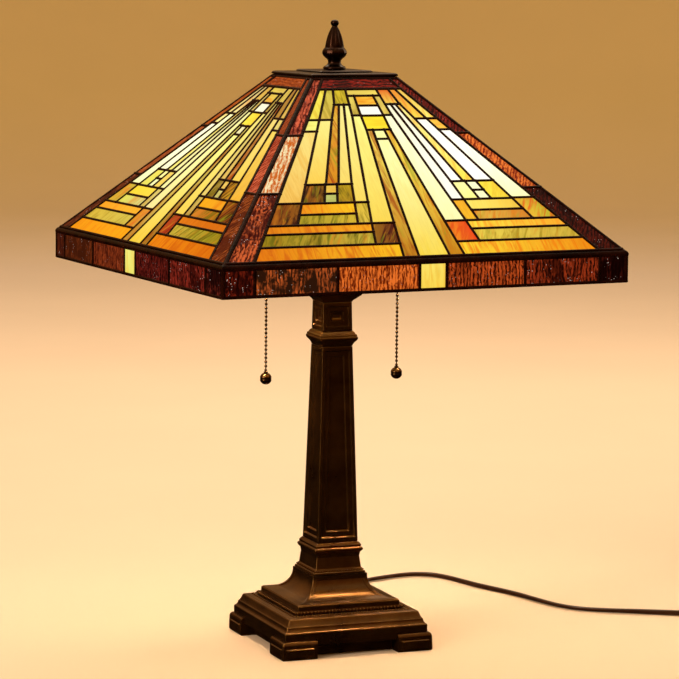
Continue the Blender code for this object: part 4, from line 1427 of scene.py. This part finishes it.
def skirt(k, side):
    """The upright panes under the eave."""
    rng = random.Random(60 + k)
    granite, art = Shell(), Shell()
    low, high = SKIRT_LOW, SKIRT_HIGH
    place = drifted_skirt(k)
    for i, (left, right, front, aside, patchy, sparkle) in enumerate(SKIRT_PANES):
        def corners(s, t, left=left, right=right):
            return left + 0.8 + (right - left - 1.6) * s, low + (high - low) * t
        ridge, hollow = pair(aside if k % 2 else front, rng, 0.04)
        ridge[3], hollow[3] = patchy, sparkle
        pane(granite, corners, place, "v", (ridge, ridge), hollow, 70.0 + 3 * k + i * 0.41, fine=3.0,
             ripple=0.35)

    def square(s, t):
        return -12.8 + 25.6 * s, low + (high - low) * t
    shades = [colour4(code) for code in (("ece870", "f0ec7c") if k % 2 else ("fcd850", "fce468"))]
    pane(art, square, place, "v", shades, colour4("f4b830", 0.5), 5.0 + k)
    turn = side_turn(k)
    finished("skirt_granite_" + side, granite, GRANITE_GLASS, "shade", ("skirt_" + side,),
             flat=False, crease=40, turn=turn)
    finished("skirt_square_" + side, art, ART_GLASS, "shade", flat=False, crease=30, turn=turn)


def corner_lead(k, name, node, low, high, count, half_at, swell_at, outline):
    """A lead along one corner of the shade: outline is its section, from the corner outwards."""
    rings = []
    for i in range(count + 1):
        z = low + (high - low) * i / count
        half, swell = half_at(z), swell_at(z)
        rings.append([(half + dx * swell, -half - dy * swell, z) for dx, dy in outline])
    shell = Shell()
    shell.loft(rings)
    finished(name, shell, LEAD, "shade", node, flat=False, crease=45, turn=side_turn(k))


def corner_leads():
    """A rounded, hand-soldered lead along each hip, and one down each corner of the skirt."""
    hip = ((-4.0, -0.9), (-3.5, 0.1), (-2.3, 0.8), (-0.9, 0.95), (0.4, 0.58), (0.9, -0.4), (0.8, -2.0),
           (0.1, -3.4), (-0.9, -4.0), (-2.8, -3.8), (-3.8, -2.8))
    upright_corner = ((-3.4, -0.5), (-2.6, 0.5), (-1.0, 0.85), (0.35, 0.55), (0.85, -0.35), (0.85, -1.0),
                      (0.5, -2.6), (-0.5, -3.4), (-3.0, -3.0))
    for k, name in enumerate(CORNERS):
        corner_lead(k, "hip_lead_" + name, ("hip_came_" + name,), 387.6, 542.4, 44,
                    lambda z: HALF - (z - EAVE_Z) * RUN / RISE,
                    lambda z: 1 + 0.10 * noise.noise(Vector((k * 9.0, 0.0, z * 0.13))), hip)
    for k, name in enumerate(CORNERS):
        corner_lead(k, "corner_lead_" + name, (), 360.6, 384.6, 8, lambda z: HALF,
                    lambda z: 1 + 0.12 * noise.noise(Vector((k * 5.0 + 3.0, 0.0, z * 0.2))), upright_corner)


def square_leads():
    """The leads round the eave, the bottom rim and the top opening."""
    eave = eased([(199.2, 382.8), (203.4, 382.8), (204.0, 383.4), (204.2, 385.4), (203.5, 386.9),
                  (202.2, 388.3),
                  (199.2, 387.2)], 0.5)
    rim = eased([(199.6, 359.0), (200.8, 358.5), (203.2, 358.5), (204.0, 359.2), (204.0, 360.8),
                 (203.3, 361.5),
                 (199.6, 361.3)], 0.5)
    collar = eased([(39.6, 541.0), (44.2, 539.0), (46.0, 541.0), (44.0, 543.1), (39.6, 543.1)], 0.5)
    for node, name, profile in (("eave_came", "eave_lead", eave), ("rim_came", "rim_lead", rim),
                                ("collar_came", "collar_lead", collar)):
        shell = Shell()
        shell.loft([square_ring(half, z, 0.8) for half, z in profile], wrap=True)
        finished(name, shell, LEAD, "shade", (node,), turn=SHADE_TURN, crease=45)


def cap():
    """The square plate over the shade and the smaller one on it."""
    outer = eased([(42.6, 543.3), (44.9, 543.3), (45.1, 544.2), (44.6, 545.2), (43.2, 546.0),
                   (ROD_HOLE, 546.3)], 0.35)
    inner = [(ROD_HOLE, 544.9), (41.6, 544.9)]
    finished("cap_plate", square_shell(outer, inner, 1.2), BRONZE_DARK, "shade", ("cap_rim",),
             turn=SHADE_TURN)
    outer = eased([(20.0, 546.5), (27.4, 546.5), (27.4, 547.2), (25.8, 548.1), (ROD_HOLE, 548.1)], 0.35)
    finished("cap_step", square_shell(outer, [(ROD_HOLE, 546.5)], 1.2), BRONZE_DARK, "shade", ("cap_crown",),
             turn=SHADE_TURN)


def finial():
    """A turned knob: plain foot, gadrooned bulge, fluted spire and a small ball."""
    profile = [(0, 556.5), (5.2, 556.5), (5.2, 548.3), (10.3, 548.3), (10.8, 549.6), (10.1, 551.0),
               (8.2, 552.0),
               (7.0, 552.9), (6.2, 554.2), (6.0, 555.5), (6.3, 556.9), (7.6, 558.5), (9.2, 559.5),
               (10.4, 560.7),
               (11.3, 562.0), (11.8, 563.6), (11.7, 565.0), (11.2, 566.4), (10.2, 567.8), (9.3, 568.6),
               (8.9, 569.4),
               (9.0, 570.6), (8.9, 572.0), (8.6, 574.0), (8.1, 576.0), (7.5, 578.2), (6.8, 580.4),
               (6.0, 582.4),
               (5.1, 584.4), (4.0, 586.4), (3.1, 587.8), (2.6, 588.6), (2.7, 589.2), (3.3, 590.0),
               (3.8, 591.1),
               (3.9, 592.2), (3.6, 593.3), (2.9, 594.2), (1.6, 594.8), (0, 595.0)]

    def flutes(r, z, angle):
        if 558.5 < z < 568.2 and r > 7:
            return r - 0.45 * between(z, 558.5, 568.2, 3.0) * abs(math.sin(6 * angle)) ** 0.7
        if 570.0 < z < 587.0:
            return r * (1 - 0.10 * between(z, 570.0, 587.0, 3.0) * (0.5 - 0.5 * math.cos(8 * angle)))
        return r

    shell = lathe_shell(eased(profile, 0.3, 2), 96, flutes)
    finished("finial_knob", shell, BRONZE_DARK, "finial", ("finial",), flat=False, crease=50)


def kept_nodes():
    """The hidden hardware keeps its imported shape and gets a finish."""
    brass = ("base_washer", "base_nut", "center_rod", "column_nut", "cap_seat_nut", "cluster_body")
    finishes = {"base_weight": IRON, **dict.fromkeys(brass, BRASS_DARK)}
    for name, material in finishes.items():
        obj = bpy.data.objects[name]
        for slot in obj.material_slots:
            slot.material = material
        if not obj.material_slots:
            obj.data.materials.append(material)


for build in (feet, plinth, bead_strip, cavetto_tier, column_collar, shaft, capital, neck_block, top_flare,
              sockets, pull_switches):
    build()
for k, side in enumerate(SIDES):
    glass_panel(k, side)
    skirt(k, side)
    leads(k, side)
for build in (corner_leads, square_leads, cap, finial, kept_nodes):
    build()
